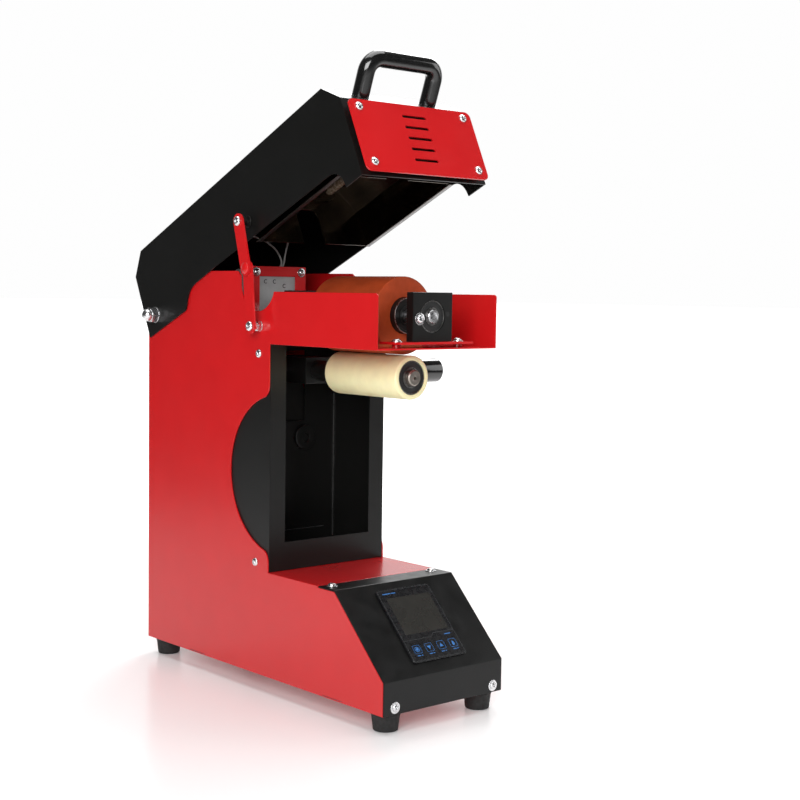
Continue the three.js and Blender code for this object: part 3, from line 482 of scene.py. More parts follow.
def smooth_path(points, steps):
    """Points along a Catmull-Rom curve through points."""
    result = []
    for i in range(len(points) - 1):
        p0, p1 = points[max(i - 1, 0)], points[i]
        p2, p3 = points[i + 1], points[min(i + 2, len(points) - 1)]
        for step in range(steps):
            t = step / steps
            result.append(0.5 * ((2 * p1) + (p2 - p0) * t + (2 * p0 - 5 * p1 + 4 * p2 - p3) * t * t
                                 + (3 * p1 - p0 - 3 * p2 + p3) * t ** 3))
    return result + [points[-1]]


def hexagon_ring(apothem, height, count, lift=0.0):
    """count points on a hexagon's edge. Each is raised by lift for every millimetre beyond the apothem."""
    sixth = math.pi / 3
    points = []
    for a in circle_angles(count):
        r = apothem / math.cos((a % sixth) - sixth / 2)
        points.append(Vector((r * math.cos(a), r * math.sin(a), height + (r - apothem) * lift)) * MM)
    return points


def sleeve_profile(bore, outer, length, inner_edge, outer_edge):
    """The closed profile of a plain sleeve with rounded edges."""
    return [(bore, 0, inner_edge), (outer, 0, outer_edge), (outer, length, outer_edge),
            (bore, length, inner_edge)]


def turned_piece(name, profile, segments, body, slot, node, place, closed=False, material=None):
    piece(name, *turned(profile, segments, closed), body, slot, material, [node], place=place)


def ring_stack(rings, segments):
    """Closes a stack of rings, each a list of points, with a cap at both ends."""
    verts = [v for ring in rings for v in ring]
    faces = []
    for i in range(len(rings) - 1):
        for k in range(segments):
            n = (k + 1) % segments
            faces.append([i * segments + k, i * segments + n, (i + 1) * segments + n, (i + 1) * segments + k])
    faces.append(list(range(segments))[::-1])
    faces.append([(len(rings) - 1) * segments + k for k in range(segments)])
    return verts, faces


def socket_screw(radius, height, washer=None):
    """A button-head screw with a hexagon socket and its seat at z = 0. washer is the radius of the washer
    under it, if there is one."""
    segments = 36
    lift = 0.0 if washer is None else 1.0
    dome = [(0.96, 0.0), (1.0, 0.10), (0.985, 0.3), (0.9, 0.58), (0.74, 0.83), (0.56, 0.97), (0.46, 1.0)]
    key, top = radius * 0.36, lift + height
    floor = top - height * 0.55
    rings = [round_ring(radius * r, lift + height * h, segments) for r, h in dome]
    rings += [hexagon_ring(key, top, segments), hexagon_ring(key, floor, segments),
              round_ring(key * 0.5, floor - 0.4, segments)]
    head = ring_stack(rings, segments)
    if washer is None:
        return head
    hole = radius * 0.7
    ring = [(hole, 0), (washer, 0, 0.2), (washer, lift, 0.3), (hole, lift)]
    return joined(turned(ring, 40, closed=True), head)


def hex_nut(apothem, height):
    """A hexagon nut whose corners are turned down at both ends."""
    segments, edge, chamfer = 72, 0.3, 0.55
    face = apothem * 0.93
    return ring_stack([round_ring(face, 0, segments), hexagon_ring(apothem, edge, segments, chamfer),
                       hexagon_ring(apothem, height - edge, segments, -chamfer),
                       round_ring(face, height, segments)], segments)


def thin_strip(path, width, place, closed=True, height=0.12):
    """A raised printed line of width along path, drawn flat and then placed."""
    verts, faces = [], []
    count = len(path)
    for i, point in enumerate(path):
        before = path[i - 1] if (closed or i > 0) else point
        after = path[(i + 1) % count] if (closed or i < count - 1) else point
        along = (Vector(after) - Vector(before)).normalized()
        side = Vector((-along.y, along.x)) * (width / 2)
        for sign, h in ((-1, 0), (1, 0), (1, height), (-1, height)):
            verts.append(place @ (Vector((point[0] + side.x * sign, point[1] + side.y * sign, h)) * MM))
    for i in range(count if closed else count - 1):
        n = (i + 1) % count
        for k in range(4):
            m = (k + 1) % 4
            faces.append([i * 4 + k, n * 4 + k, n * 4 + m, i * 4 + m])
    if not closed:
        faces += [[3, 2, 1, 0], [(count - 1) * 4 + k for k in range(4)]]
    return verts, faces


def round_rectangle(x0, x1, y0, y1, radius, steps=5):
    points = []
    for cx, cy, start in ((x1 - radius, y0 + radius, -90), (x1 - radius, y1 - radius, 0),
                          (x0 + radius, y1 - radius, 90), (x0 + radius, y0 + radius, 180)):
        for step in range(steps + 1):
            angle = math.radians(start + 90 * step / steps)
            points.append((cx + radius * math.cos(angle), cy + radius * math.sin(angle)))
    return points


def disc(x, y, radius, count=28):
    return [(x + radius * math.cos(a), y + radius * math.sin(a)) for a in circle_angles(count)]


def flat_plate(outline, bottom, top, bevel):
    """A plate of the given outline, with its upper edge taken off by bevel."""
    centre = Vector((sum(p[0] for p in outline), sum(p[1] for p in outline))) / len(outline)

    def ring(inset, h):
        return [Vector((*(Vector(p) - (Vector(p) - centre).normalized() * inset), h)) * MM for p in outline]

    return ring_stack([ring(0, bottom), ring(0, top - bevel), ring(bevel, top)], len(outline))


# ---- carried-over CAD nodes: their finishes, and their edges taken off ----

def smooth_by_angle(limit=math.radians(38)):
    """Nodes for a modifier that shades smooth and keeps edges over limit sharp."""
    group = bpy.data.node_groups.new("smooth_by_angle", "GeometryNodeTree")
    for direction in ("INPUT", "OUTPUT"):
        group.interface.new_socket("Geometry", in_out=direction, socket_type="NodeSocketGeometry")
    start = add_node(group, "NodeGroupInput").outputs[0]
    angle = add_node(group, "GeometryNodeInputMeshEdgeAngle").outputs["Unsigned Angle"]
    over = add_node(group, "FunctionNodeCompare", {0: angle, 1: limit}, operation="GREATER_THAN").outputs[0]
    faces = add_node(group, "GeometryNodeSetShadeSmooth", {"Geometry": start}).outputs[0]
    inputs = {"Geometry": faces, "Selection": over, "Shade Smooth": False}
    edges = add_node(group, "GeometryNodeSetShadeSmooth", inputs, domain="EDGE").outputs[0]
    add_node(group, "NodeGroupOutput", {0: edges})
    return group


SMOOTH = smooth_by_angle()
EDGE_BREAK = {"lid_shell": 1.1, "control_panel": 0.9, "power_supply": 1.0, "gear_head": 1.0,
              "front_bearing_block": 0.8, "rear_bearing_block": 0.8, "pivot_block": 1.5,
              "reflector_hood": 0.35, "control_board": 0.2, "display_module": 0.3}
PLAIN_EDGE_BREAK = 0.45
OWN_FINISH = {"front_tube_holder": BRONZE, "rear_tube_holder": BRONZE,
              "pivot_block": MATERIALS["black_coat"]}


def modify(node, name, kind, **settings):
    modifier = node.modifiers.new(name, kind)
    for key, value in settings.items():
        setattr(modifier, key, value)


def dress_nodes():
    for entry in frame["record"]["subparts"]:
        node = NODES[entry["node"]]
        node.data.materials.clear()
        node.data.materials.append(OWN_FINISH.get(entry["node"]) or MATERIALS[entry["material_slot"]])
        edge = EDGE_BREAK.get(entry["node"], PLAIN_EDGE_BREAK) * MM
        modify(node, "weld", "WELD", merge_threshold=0.005 * MM)
        modify(node, "flatten", "DECIMATE", decimate_type="DISSOLVE", angle_limit=math.radians(0.6))
        modify(node, "edges", "BEVEL", width=edge, segments=2, angle_limit=math.radians(32),
               miter_outer="MITER_ARC")
        modify(node, "smooth", "NODES", node_group=SMOOTH)
        modify(node, "normals", "WEIGHTED_NORMAL", keep_sharp=True)


# ---- camera, light and floor ----

CAMERA_PLACE = (-1129.97, -1314.23, 511.16)
CAMERA_AZIMUTH = math.radians(-41.16)
CAMERA_ELEVATION = math.radians(4.19)
CAMERA_ROLL = math.radians(0.82)
SENSOR = 36.0
LENS = 66.01365
AHEAD = Vector((-math.sin(CAMERA_AZIMUTH), math.cos(CAMERA_AZIMUTH), 0))

WORLD_DIM = 0.07
WORLD_WHITE = 0.99
WALL_START = math.cos(math.radians(62))
WALL_FULL = math.cos(math.radians(25))


def add_camera():
    """The view: 41 degrees round to the left and 4 degrees up, from 2 m away."""
    level = math.cos(CAMERA_ELEVATION)
    back = Vector((-AHEAD.x * level, -AHEAD.y * level, math.sin(CAMERA_ELEVATION)))
    side = (-back).cross(Z).normalized()
    above = side.cross(-back)
    cos, sin = math.cos(CAMERA_ROLL), math.sin(CAMERA_ROLL)
    right, up = side * cos + above * sin, above * cos - side * sin
    data = bpy.data.cameras.new("camera")
    data.sensor_width = SENSOR
    data.lens = LENS
    camera = add_object("camera", data)
    turn = Matrix((right, up, back)).transposed().to_4x4()
    camera.matrix_world = Matrix.Translation(at(*CAMERA_PLACE)) @ turn
    bpy.context.scene.camera = camera


def softbox(name, place, target, size, power):
    data = bpy.data.lights.new(name, "AREA")
    data.shape = "RECTANGLE"
    data.size, data.size_y = size
    data.energy = power
    light = add_object(name, data)
    light.matrix_world = facing(Vector(place), Vector(place) - Vector(target))


class Field:
    """A number that changes over a shader's space, built up from nodes."""

    def __init__(self, tree, socket):
        self.tree, self.socket = tree, socket

    def step(self, kind, inputs, output=0, **settings):
        sockets = {index: getattr(value, "socket", value) for index, value in inputs.items()}
        return Field(self.tree, add_node(self.tree, kind, sockets, **settings).outputs[output])

    def dot(self, direction):
        return self.step("ShaderNodeVectorMath", {0: self, 1: direction}, "Value", operation="DOT_PRODUCT")

    def math(self, operation, other=0.0):
        return self.step("ShaderNodeMath", {0: self, 1: other}, operation=operation)

    def fade(self, start, end, low=0.0, high=1.0):
        """low before start and high after end, with a smooth way between them."""
        return self.step("ShaderNodeMapRange", {0: self, 1: start, 2: end, 3: low, 4: high},
                         interpolation_type="SMOOTHSTEP")


def add_world():
    """A dim studio with a white wall behind the machine, seen from the main view."""
    world = bpy.data.worlds.new("studio")
    world.use_nodes = True
    tree = world.node_tree
    direction = Field(tree, tree.nodes.new("ShaderNodeTexCoord").outputs["Generated"])
    background = tree.nodes["Background"]
    background.inputs["Color"].default_value = (1.0, 1.0, 1.0, 1.0)
    level = direction.dot(AHEAD).fade(WALL_START, WALL_FULL, WORLD_DIM, WORLD_WHITE)
    tree.links.new(level.socket, background.inputs["Strength"])
    bpy.context.scene.world = world


def add_floor():
    """A slightly glossy floor with a painted pool of light: near the machine and along the strip that leads to the
    wall it is painted light grey and glows, and elsewhere it is painted darker grey as painted shade.
    """
    shader = Shader("studio_floor", (0.90, 0.90, 0.90), 0.22, Specular_IOR_Level=0.35)
    shader.gloss(0.22, 0.24, shader.noise(0.3))
    place = Field(shader.tree, shader.coordinates.outputs["Object"])
    eye = at(*CAMERA_PLACE)
    along = place.dot(AHEAD).math("SUBTRACT", eye.dot(AHEAD))
    aside = Vector((AHEAD.y, -AHEAD.x, 0))
    across = place.dot(aside).math("SUBTRACT", eye.dot(aside)).math("ABSOLUTE")
    strip = across.math("DIVIDE", along.math("MAXIMUM", 0.01)).fade(0.30, 0.5, 1.0, 0.0)
    away = place.step("ShaderNodeVectorMath", {0: place}, "Value", operation="LENGTH")
    near = away.fade(1.3, 2.2, 1.0, 0.0)
    far = strip.math("MULTIPLY", away.fade(0.8, 1.9, 0.0, 1.0))
    # Painted pool of light: the mask of where the floor is painted light and glows.
    lit_pool_mask = near.math("MAXIMUM", far)
    shade = shader.mix(lit_pool_mask.socket, (0.32, 0.32, 0.32), (0.90, 0.90, 0.90))
    shader.feed("Base Color", shade)
    shader.set("Emission Color", (1.0, 1.0, 1.0, 1.0))
    # The floor glows here though it is no lamp: painted light.
    glow = near.math("MULTIPLY", 0.08).math("ADD", far)
    shader.feed("Emission Strength", glow.socket)
    mesh = bpy.data.meshes.new("floor")
    reach = 60.0
    corners = [(-reach, -reach, 0), (reach, -reach, 0), (reach, reach, 0), (-reach, reach, 0)]
    mesh.from_pydata(corners, [], [[0, 1, 2, 3]])
    mesh.materials.append(shader.material)
    floor = add_object("floor", mesh)
    floor.location.z = cad_low.z - 0.0005


def add_studio():
    bpy.context.scene.view_settings.view_transform = "Standard"
    middle = (cad_low + cad_high) / 2
    softbox("key", (-2.1, -1.8, 1.25), middle, (1.8, 1.6), 78)
    softbox("top", (0.1, 0.1, 2.9), (0.1, 0.1, 0), (2.6, 2.6), 68)
    softbox("fill", (2.2, -1.4, 1.2), middle, (1.2, 1.6), 12)
    softbox("rim", (1.6, 1.2, 2.2), (0.0, -0.1, 0.75), (1.2, 1.2), 30)
    add_world()
    add_floor()


# ---- rollers ----

def along_y(node):
    """Where a turned piece on a Y axis starts: the front end of its node."""
    low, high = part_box(node)
    return facing(Vector(((low.x + high.x) / 2, low.y, (low.z + high.z) / 2)), Y)


def length_and_radius(node):
    """The length of a node along Y and half its height, in millimetres."""
    low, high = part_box(node)
    return (high.y - low.y) / MM, (high.z - low.z) / MM / 2


def add_silicone_roller():
    node = "silicone_sleeve"
    length, radius = length_and_radius(node)
    bore, inside, lip = 23.2, radius - 13.2, 1.7
    profile = [(bore, 0, 0.5), (radius, 0, 1.2), (radius, length, 1.2), (bore, length, 0.5),
               (bore, length - lip), (inside, length - lip), (inside, lip), (bore, lip)]
    turned_piece("silicone_roller", profile, 160, "roller", "silicone", node, along_y(node), closed=True)


def add_roller_hubs():
    """Black hubs with a bright rim on the front of their step."""
    bore, step = 8.8, 22.5
    for name, node, direction in (("front_hub", "front_roller_hub", Y), ("rear_hub", "rear_roller_hub", -Y)):
        low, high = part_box(node)
        length = (high.y - low.y) / MM
        profile = [(bore, 0.4, 0.3), (13, 0.4, 0.4), (13.4, 1.6), (18.6, 1.6), (19.0, 0, 0.4), (step, 0, 0.7),
                   (step, 10.5, 0.3), (29, 10.5, 0.5), (29, length, 0.5), (bore, length)]
        outer_end = low.y if direction.y > 0 else high.y
        place = facing(Vector((ROLLER_AXIS.x, outer_end, ROLLER_AXIS.z)), direction)
        turned_piece(name, profile, 96, "roller", "black_coat", node, place, closed=True)
        rim = [(22.0, -0.15, 0.15), (22.7, -0.15, 0.2), (22.7, 0.9, 0.15), (22.0, 0.9)]
        piece(name + "_rim", *turned(rim, 96, closed=True), "roller", "steel", place=place)


def shaft(name, node, body, slot, groove=None):
    """A turned bar on the node's own axis with chamfered ends, and a ring of radius groove cut in the
    front one."""
    low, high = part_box(node)
    size = high - low
    longest = max(size)
    axis = X if longest == size.x else Y
    length, radius = longest / MM, min(size) / MM / 2
    far_end = [(radius, length - 0.6, 0.2), (radius - 0.6, length), (0, length)]
    if groove is None:
        profile = [(0, 0), (radius - 0.6, 0), (radius, 0.6, 0.2)] + far_end
    else:
        profile = [(0, 0.1), (groove, 0.1, 0.1), (groove, 0.5), (groove + 0.7, 0.5), (groove + 0.7, 0.1, 0.1),
                   (radius - 0.6, 0.1, 0.1), (radius, 0.7, 0.2)] + far_end
    start = (low + high) / 2 - axis * longest / 2
    turned_piece(name, profile, 64, body, slot, node, facing(start, axis))


def bearing(name, node, body, outer, inner, split, seal_in):
    """A sealed ball bearing: its races, outer from split and inner up to seal_in, and a rubber shield between
    them at both faces."""
    length = length_and_radius(node)[0]
    place = along_y(node)
    profiles = (sleeve_profile(split, outer, length, 0.2, 0.5),
                sleeve_profile(inner, seal_in, length, 0.3, 0.2))
    races = [turned(profile, 96, closed=True) for profile in profiles]
    piece(name, *joined(*races), body, "steel", material=RACE_STEEL, replaces=[node], place=place)
    shields = []
    sunk = 0.6
    first, middle, last = seal_in + 0.15, (split + seal_in) / 2, split - 0.1
    for h, inward in ((sunk, 1), (length - sunk, -1)):
        slope, groove, back = h + 0.2 * inward, h + 0.35 * inward, h + 1.4 * inward
        shield = [(first, slope), (seal_in + 1.2, h, 0.2), (middle, groove, 0.2), (split - 0.9, h, 0.2),
                  (last, slope), (last, back), (first, back)]
        shields.append(turned(shield, 96, closed=True))
    piece(name + "_shields", *joined(*shields), body, "dark_plastic", material=SEAL_RUBBER_AND_PAINTED_SHADE, place=place)


def add_bearings():
    for end in ("front", "rear"):
        bearing(end + "_bearing", end + "_roller_bearing", "root", 20.0, 8.8, 18.8, 11.2)
    for end in ("front", "rear"):
        bearing("mandrel_bearing_" + end, "mandrel_" + end + "_bearing", "mandrel", 21.7, 10.5, 20.2, 13.2)


def add_coupling():
    """A clamp coupling: two turned halves with a groove between them."""
    node = "shaft_coupling"
    length, radius = length_and_radius(node)
    bore, groove, near, far = 8.8, radius - 5, length * 0.46, length * 0.54
    profile = [(bore, 0, 0.3), (radius, 0, 1.0), (radius, near, 0.4), (groove, near), (groove, far),
               (radius, far, 0.4), (radius, length, 1.0), (bore, length, 0.3)]
    turned_piece("roller_coupling", profile, 96, "roller", "steel", node, along_y(node), closed=True)


def add_mandrel():
    node = "mandrel_sleeve"
    length, radius = length_and_radius(node)
    profile = sleeve_profile(22.0, radius, length, 0.6, 2.4)
    turned_piece("cream_roller", profile, 160, "mandrel", "nylon", node, along_y(node), closed=True)


def add_mandrel_spindle():
    """A spindle with a bare, centre-drilled nose and a collar at its rear end."""
    node = "mandrel_shaft"
    length = length_and_radius(node)[0]
    shank, bare, collar_start = 10.2, 8.0, length - 41.7
    nose = [(0, 4.0), (1.8, 3.4), (2.1, 0.3, 0.2), (8.6, 0, 0.3), (shank, 1.5, 0.3), (shank, bare), (0, bare)]
    piece("mandrel_spindle_nose", *turned(nose, 80), "mandrel_arm", "dark_steel", material=SPINDLE_STEEL,
          place=along_y(node))
    profile = [(0, bare), (shank, bare), (shank, collar_start), (14, collar_start, 0.8), (14, length, 0.6),
               (0, length)]
    turned_piece("mandrel_spindle", profile, 80, "mandrel_arm", "dark_steel", node, along_y(node),
                 material=MATERIALS["black_coat"])


def add_grip():
    node = "lever_grip"
    low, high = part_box(node)
    length, radius = (high.x - low.x) / MM, (high.z - low.z) / MM / 2
    profile = [(0, 0), (radius - 1.6, 0, 0.8), (radius, 3, 1.5), (radius - 0.25, length / 2),
               (radius, length - 3, 2.0), (radius - 3, length, 1.5), (4.2, length, 0.4), (3.4, length - 1.2),
               (0, length - 1.4)]
    start = Vector((low.x, (low.y + high.y) / 2, (low.z + high.z) / 2))
    turned_piece("press_grip", profile, 80, "mandrel_arm", "black_grip", node, facing(start, X))


def add_arm_shafts():
    shaft("roller_axle", "roller_shaft", "roller", "steel", groove=5.8)
    shaft("arm_axle", "cross_shaft", "mandrel_arm", "steel")
    for side in ("left", "right"):
        node = side + "_pivot_bushing"
        low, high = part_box(node)
        profile = sleeve_profile(8.3, 15, (high.x - low.x) / MM, 0.3, 0.8)
        place = facing(Vector((low.x, ARM_PIVOT.y, ARM_PIVOT.z)), X)
        turned_piece(side + "_bushing", profile, 64, "root", "dark_steel", node, place, closed=True)


def add_press_spring():
    """A wound spring. The fork behind the column pushes it together when the lower roller is pressed down."""
    low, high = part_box("press_spring")
    wire, coil = 1.3 * MM, 9 * MM
    front, back = low.y + wire, high.y - wire
    centre = at(140.5, 0, 303.5)
    turns, steps, fork_travel = 5.5, 220, 24.6
    points = []
    for i in range(steps + 1):
        t = i / steps
        closer_ends = t + 0.035 * math.sin(2 * math.pi * t)
        angle = t * turns * 2 * math.pi
        points.append(Vector((centre.x + coil * math.cos(angle), front + (back - front) * closer_ends,
                              centre.z + coil * math.sin(angle))))
    spring = piece("pressing_spring", *tube(points, wire, 12), "root", "steel", replaces=["press_spring"])
    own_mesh(spring)


def add_spring_bolt():
    """A bolt with a wide ring for its head, and the nut that the spring stands on."""
    node = "spring_bolt"
    length = length_and_radius(node)[0]
    ring, rod, nut_start = 6.0, 5.0, length - 8.0
    profile = [(0, 4.0), (6.3, 4.0), (6.5, 0, 0.5), (17.5, 0, 0.8), (17.5, ring, 0.4), (rod, ring),
               (rod, nut_start), (12, nut_start, 0.6), (12, length, 1.0), (0, length)]
    turned_piece("spring_guide_bolt", profile, 80, "root", "black_coat", node, along_y(node))


# ---- feet, hinge and stay ----

def add_feet():
    """Moulded feet: a slight taper, a rounded tread and a recess for the screw that holds them."""
    for node in ("front_left_foot", "front_right_foot", "rear_left_foot", "rear_right_foot"):
        low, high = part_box(node)
        height = (high.z - low.z) / MM
        profile = [(0, 9), (5.5, 9, 0.5), (6.5, 0.2, 0.8), (8, 0, 0.4), (15.5, 0, 1.6),
                   (17.9, height - 3.4, 0.8), (18.5, height - 3.0, 0.4), (18.5, height, 0.5), (0, height)]
        start = Vector(((low.x + high.x) / 2, (low.y + high.y) / 2, low.z))
        turned_piece(node + "_moulding", profile, 72, "root", "foot_rubber", node, facing(start, Z))


def add_hinge():
    """The hinge rod and the domed cap nut with a washer at both its ends."""
    shaft("hinge_axle", "hinge_rod", "root", "steel")
    washer = turned([(6.4, 0), (11.4, 0, 0.3), (11.4, 1.2, 0.3), (6.4, 1.2)], 64, closed=True)
    hexagonal = moved(hex_nut(10.0, 9.2), Matrix.Translation((0, 0, 1.2 * MM)))
    ball, middle = 8.8, 12.4
    quarter = [math.pi / 2 * k / 12 for k in range(12)]
    cap = [(ball * math.cos(a), middle + ball * math.sin(a)) for a in quarter]
    dome = turned([(0, 10.0), (ball, 10.0)] + cap + [(0, middle + ball)], 72)
    for side, direction in (("left", -X), ("right", X)):
        node = side + "_hinge_nut"
        low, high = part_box(node)
        start = Vector((high.x if side == "left" else low.x, LID_HINGE.y, LID_HINGE.z))
        piece(side + "_cap_nut", *joined(washer, hexagonal, dome), "root", "chrome", replaces=[node],
              place=facing(start, direction))


def add_stay_pins():
    """The shoulder screws at both ends of the stay: a collar, a nut, a washer and a head with a socket."""
    head, link = 3.6, 3.6
    for name, node, body, slot, spacer in (("stay_body_screw", "stay_body_pin", "root", "chrome", 5.0),
                                           ("stay_lid_screw", "stay_lid_pin", "lid", "dark_steel", 6.0)):
        low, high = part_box(node)
        start = Vector((high.x, (low.y + high.y) / 2, (low.z + high.z) / 2))
        length = (high.x - low.x) / MM
        neck, shoulder = length - head, length - head - link
        collar, washer = spacer + 1.8, spacer + 1.4
        stem = turned([(0, 0), (collar, 0, 0.4), (collar, 1.6, 0.4), (spacer, 1.6), (spacer, shoulder - 2.2),
                       (washer, shoulder - 2.2, 0.3), (washer, shoulder, 0.3), (4, shoulder), (4, neck),
                       (0, neck)], 64)
        nut = moved(hex_nut(spacer + 1.2, 5.0), Matrix.Translation((0, 0, 1.8 * MM)))
        top = moved(socket_screw(6.5, head), Matrix.Translation((0, 0, neck * MM)))
        piece(name, *joined(stem, nut), body, slot, replaces=[node], place=facing(start, -X))
        piece(name + "_head", *top, body, "chrome", place=facing(start, -X))


# ---- lid ----

def add_handle():
    """One bent bar that stands square on the front bevel of the lid."""
    left, right, height, bend, radius = 44.0, 156.0, 49.5, 18.0, 11.0
    foot_forward, foot_height = 479.75, 86.75
    start, leg = 0.5, height - bend
    half = math.sqrt(0.5)

    def spot(x, out):
        return in_lid(x, foot_forward + out * half, foot_height + out * half)

    points = [spot(left, start + (leg - start) * i / 6) for i in range(7)]
    for middle, first, last in ((left + bend, 180, 90), (right - bend, 90, 0)):
        for i in range(13):
            angle = math.radians(first + (last - first) * i / 12)
            points.append(spot(middle + bend * math.cos(angle), leg + bend * math.sin(angle)))
    points += [spot(right, leg - (leg - start) * i / 6) for i in range(1, 7)]
    unique = [p for i, p in enumerate(points) if i == 0 or (p - points[i - 1]).length > 1e-6]
    piece("carry_handle", *tube(unique, radius * MM, 48), "lid", "black_grip", replaces=["lid_handle"])


def add_heater_tubes():
    """Quartz tubes with pinched ends, along the lid."""
    along = lid_direction(1, 0)
    for side in ("left", "right"):
        node = side + "_heater_tube"
        low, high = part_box(node)
        radius = (high.x - low.x) / MM / 2
        length = ((high.y - low.y) - 2 * radius * MM * math.sin(LID_ANGLE)) / MM / math.cos(LID_ANGLE)
        profile = [(0, 0), (3.4, 0), (3.8, 2.5, 0.5), (radius, 5, 0.6), (radius, length - 5, 0.6),
                   (3.8, length - 2.5, 0.5), (3.4, length), (0, length)]
        start = (low + high) / 2 - along * length * MM / 2
        turned_piece(side + "_quartz_tube", profile, 48, "lid", "quartz", node, facing(start, along))


def heater_lead_routes():
    """The leads, with the same points as their solids: out of the sleeve and into the hood from behind."""
    x, y, bottom, top = 145.5, 406, 400, 516
    entry_x, entry_forward, entry_height = 60, 258, 52
    long_way = [at(x - 1.7, y, top - 4), at(x - 3, y + 1, 526), at(131, 406, 540), at(117, 396, 543.5),
                at(110, 378, 543.2), at(108.3, 364, 544.5), at(107, 358.5, 551), at(103, 358, 560),
                at(94, 358, 570.5), at(78, 358, 579.8), at(60, 358, 585.4), in_lid(44, 188, 39),
                in_lid(37, 212, 45), in_lid(43, 234, 51),
                in_lid(entry_x - 1.7, entry_forward - 9, entry_height),
                in_lid(entry_x - 1.7, entry_forward + 9, entry_height)]
    short_way = [at(x + 1.7, y, top - 4), at(x, y + 1.5, 529), at(133, 403, 543), at(120, 392, 543.5),
                 at(113.5, 378, 543.2), at(111.8, 364, 544.5), at(111.5, 358.5, 551), at(113, 358, 561),
                 at(115.5, 356, 577), at(114, 345, 598), in_lid(96, 222, 50),
                 in_lid(entry_x + 6, entry_forward - 16, entry_height),
                 in_lid(entry_x + 1.7, entry_forward + 9, entry_height)]
    return at(x, y, bottom), at(x, y, top), (long_way, short_way)


def add_heater_leads():
    """Two grey leads from the body into the open lid, out of a dark sleeve that stays in the body."""
    foot, top, routes = heater_lead_routes()
    parts = [tube(smooth_path(route, 12), 1.3 * MM, 14) for route in routes]
    leads = piece("heater_lead_pair", *joined(*parts), None, "grey_wire", replaces=["heater_leads"])
    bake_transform(leads)
    sleeve_points = [foot + (top - foot) * i / 8 for i in range(9)]
    piece("heater_lead_sleeve", *tube(sleeve_points, 3.4 * MM, 24), "root", "dark_plastic")


# ---- small details ----

def add_hood_flanges():
    """The bare folded edges along both sides of the hood's mouth. The right one is painted light grey as a painted
    highlight where light falls on it, and the left one dark as painted shade.
    """
    # The right fold is painted light as a painted highlight, the left one dark as painted shade.
    for side, across, finish in (("left", (3.2, 8.9), MATERIALS["dark_steel"]),
                                 ("right", (191.1, 196.8), PAINTED_HIGHLIGHT_FOLD)):
        fold = box_part(in_lid, across, (259, 445), (-8.3, -7.6))
        piece("hood_" + side + "_fold", *fold, "lid", "steel", material=finish)


def add_edge_slots():
    """The joints of the base plate's tabs along the lower edges of the side panels: thin dark strips painted as
    the shade inside the open slits.
    """
    slits = [box_part(at, across, along, (1.5, 2.3))
             for across in ((-0.06, 0.3), (WIDTH - 0.3, WIDTH + 0.06)) for along in ((80, 120), (386, 424))]
    piece("edge_slit_shade", *joined(*slits), "root", "dark_plastic", material=SEAL_RUBBER_AND_PAINTED_SHADE)


def add_recess_seams():
    """Bright strips painted along the folded and welded corners of the column's recess, as painted highlights
    where these edges catch the light.
    """
    depth = (347.0, 347.8)
    upright = box_part(at, (194.6, 195.4), depth, (157, 365))
    level = box_part(at, (108, 178), depth, (171.6, 172.4))
    piece("recess_highlight_seams", *joined(upright, level), "root", "steel", material=PAINTED_HIGHLIGHT_SEAM)


def add_gear_head_marks():
    """Plain arcs for the marks on the gear head's face, seen through the bracket's window."""
    corner = Vector((ORIGIN.x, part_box("gear_head")[0].y, ORIGIN.z))
    place = Matrix.Translation(corner) @ Matrix.Rotation(math.pi / 2, 4, "X")
    marks = []
    radius, width = 2.5, 1.0
    for x, z in ((77.7, 524), (93, 524), (110, 518)):
        arc = [(x + radius * math.cos(a), z + radius * math.sin(a))
               for a in (math.radians(50 + 260 * k / 20) for k in range(21))]
        marks.append(thin_strip(arc, width, place, closed=False, height=0.3))
    piece("gear_head_marks", *joined(*marks), "root", "cast_grey", material=SEAL_RUBBER_AND_PAINTED_SHADE)


# ---- screws ----

def screw_set(name, body, screws):
    """screws: (point, direction, head radius, head height, washer radius or None)."""
    first_turn, next_turn = 0.7, 1.1
    parts = [moved(socket_screw(*sizes), facing(point, direction, first_turn + next_turn * i))
             for i, (point, direction, *sizes) in enumerate(screws)]
    piece(name, *joined(*parts), body, "chrome")


def add_panel_screws():
    sides = [(at(x, y, z), direction, 5.6, 3.0, None)
             for x, direction in ((0, -X), (WIDTH, X)) for y, z in ((261.7, 428.4), (266.2, 150.5))]
    screw_set("side_screws", "root", sides)
    deck = [(at(x, 120, DECK_Z), Z, 5.2, 2.9, 7.4) for x in (14, 183)]
    front = [(at(x, 0, 9.5), -Y, 4.7, 2.8, 7.3) for x in (17.8, 183.3)]
    screw_set("panel_screws", "root", deck + front)


def add_block_screws():
    """Screws that hold the front bearing block, and a dark disc painted as the shade in a tapped hole beside its
    bearing.
    """
    block_front, plate_top = 33, TROUGH_FLOOR_Z + 7.2
    floor = [(at(x, 42, plate_top), Z, 5.6, 3.0, 7.6) for x in (48.9, 151.5)]
    face = [(at(78, block_front, 479), -Y, 5.0, 2.8, 7.6)]
    screw_set("block_screws", "root", floor + face)
    # The tapped hole as a shallow dark disc: painted shade where the hole's depth would be.
    hole = turned([(0, 0.05), (2.2, 0.05), (2.4, 0.25), (2.9, 0.25), (3.1, 0), (0, 0)], 32)
    piece("block_hole_shade", *hole, "root", "dark_plastic", material=SEAL_RUBBER_AND_PAINTED_SHADE,
          place=facing(at(125, block_front, 485), -Y))


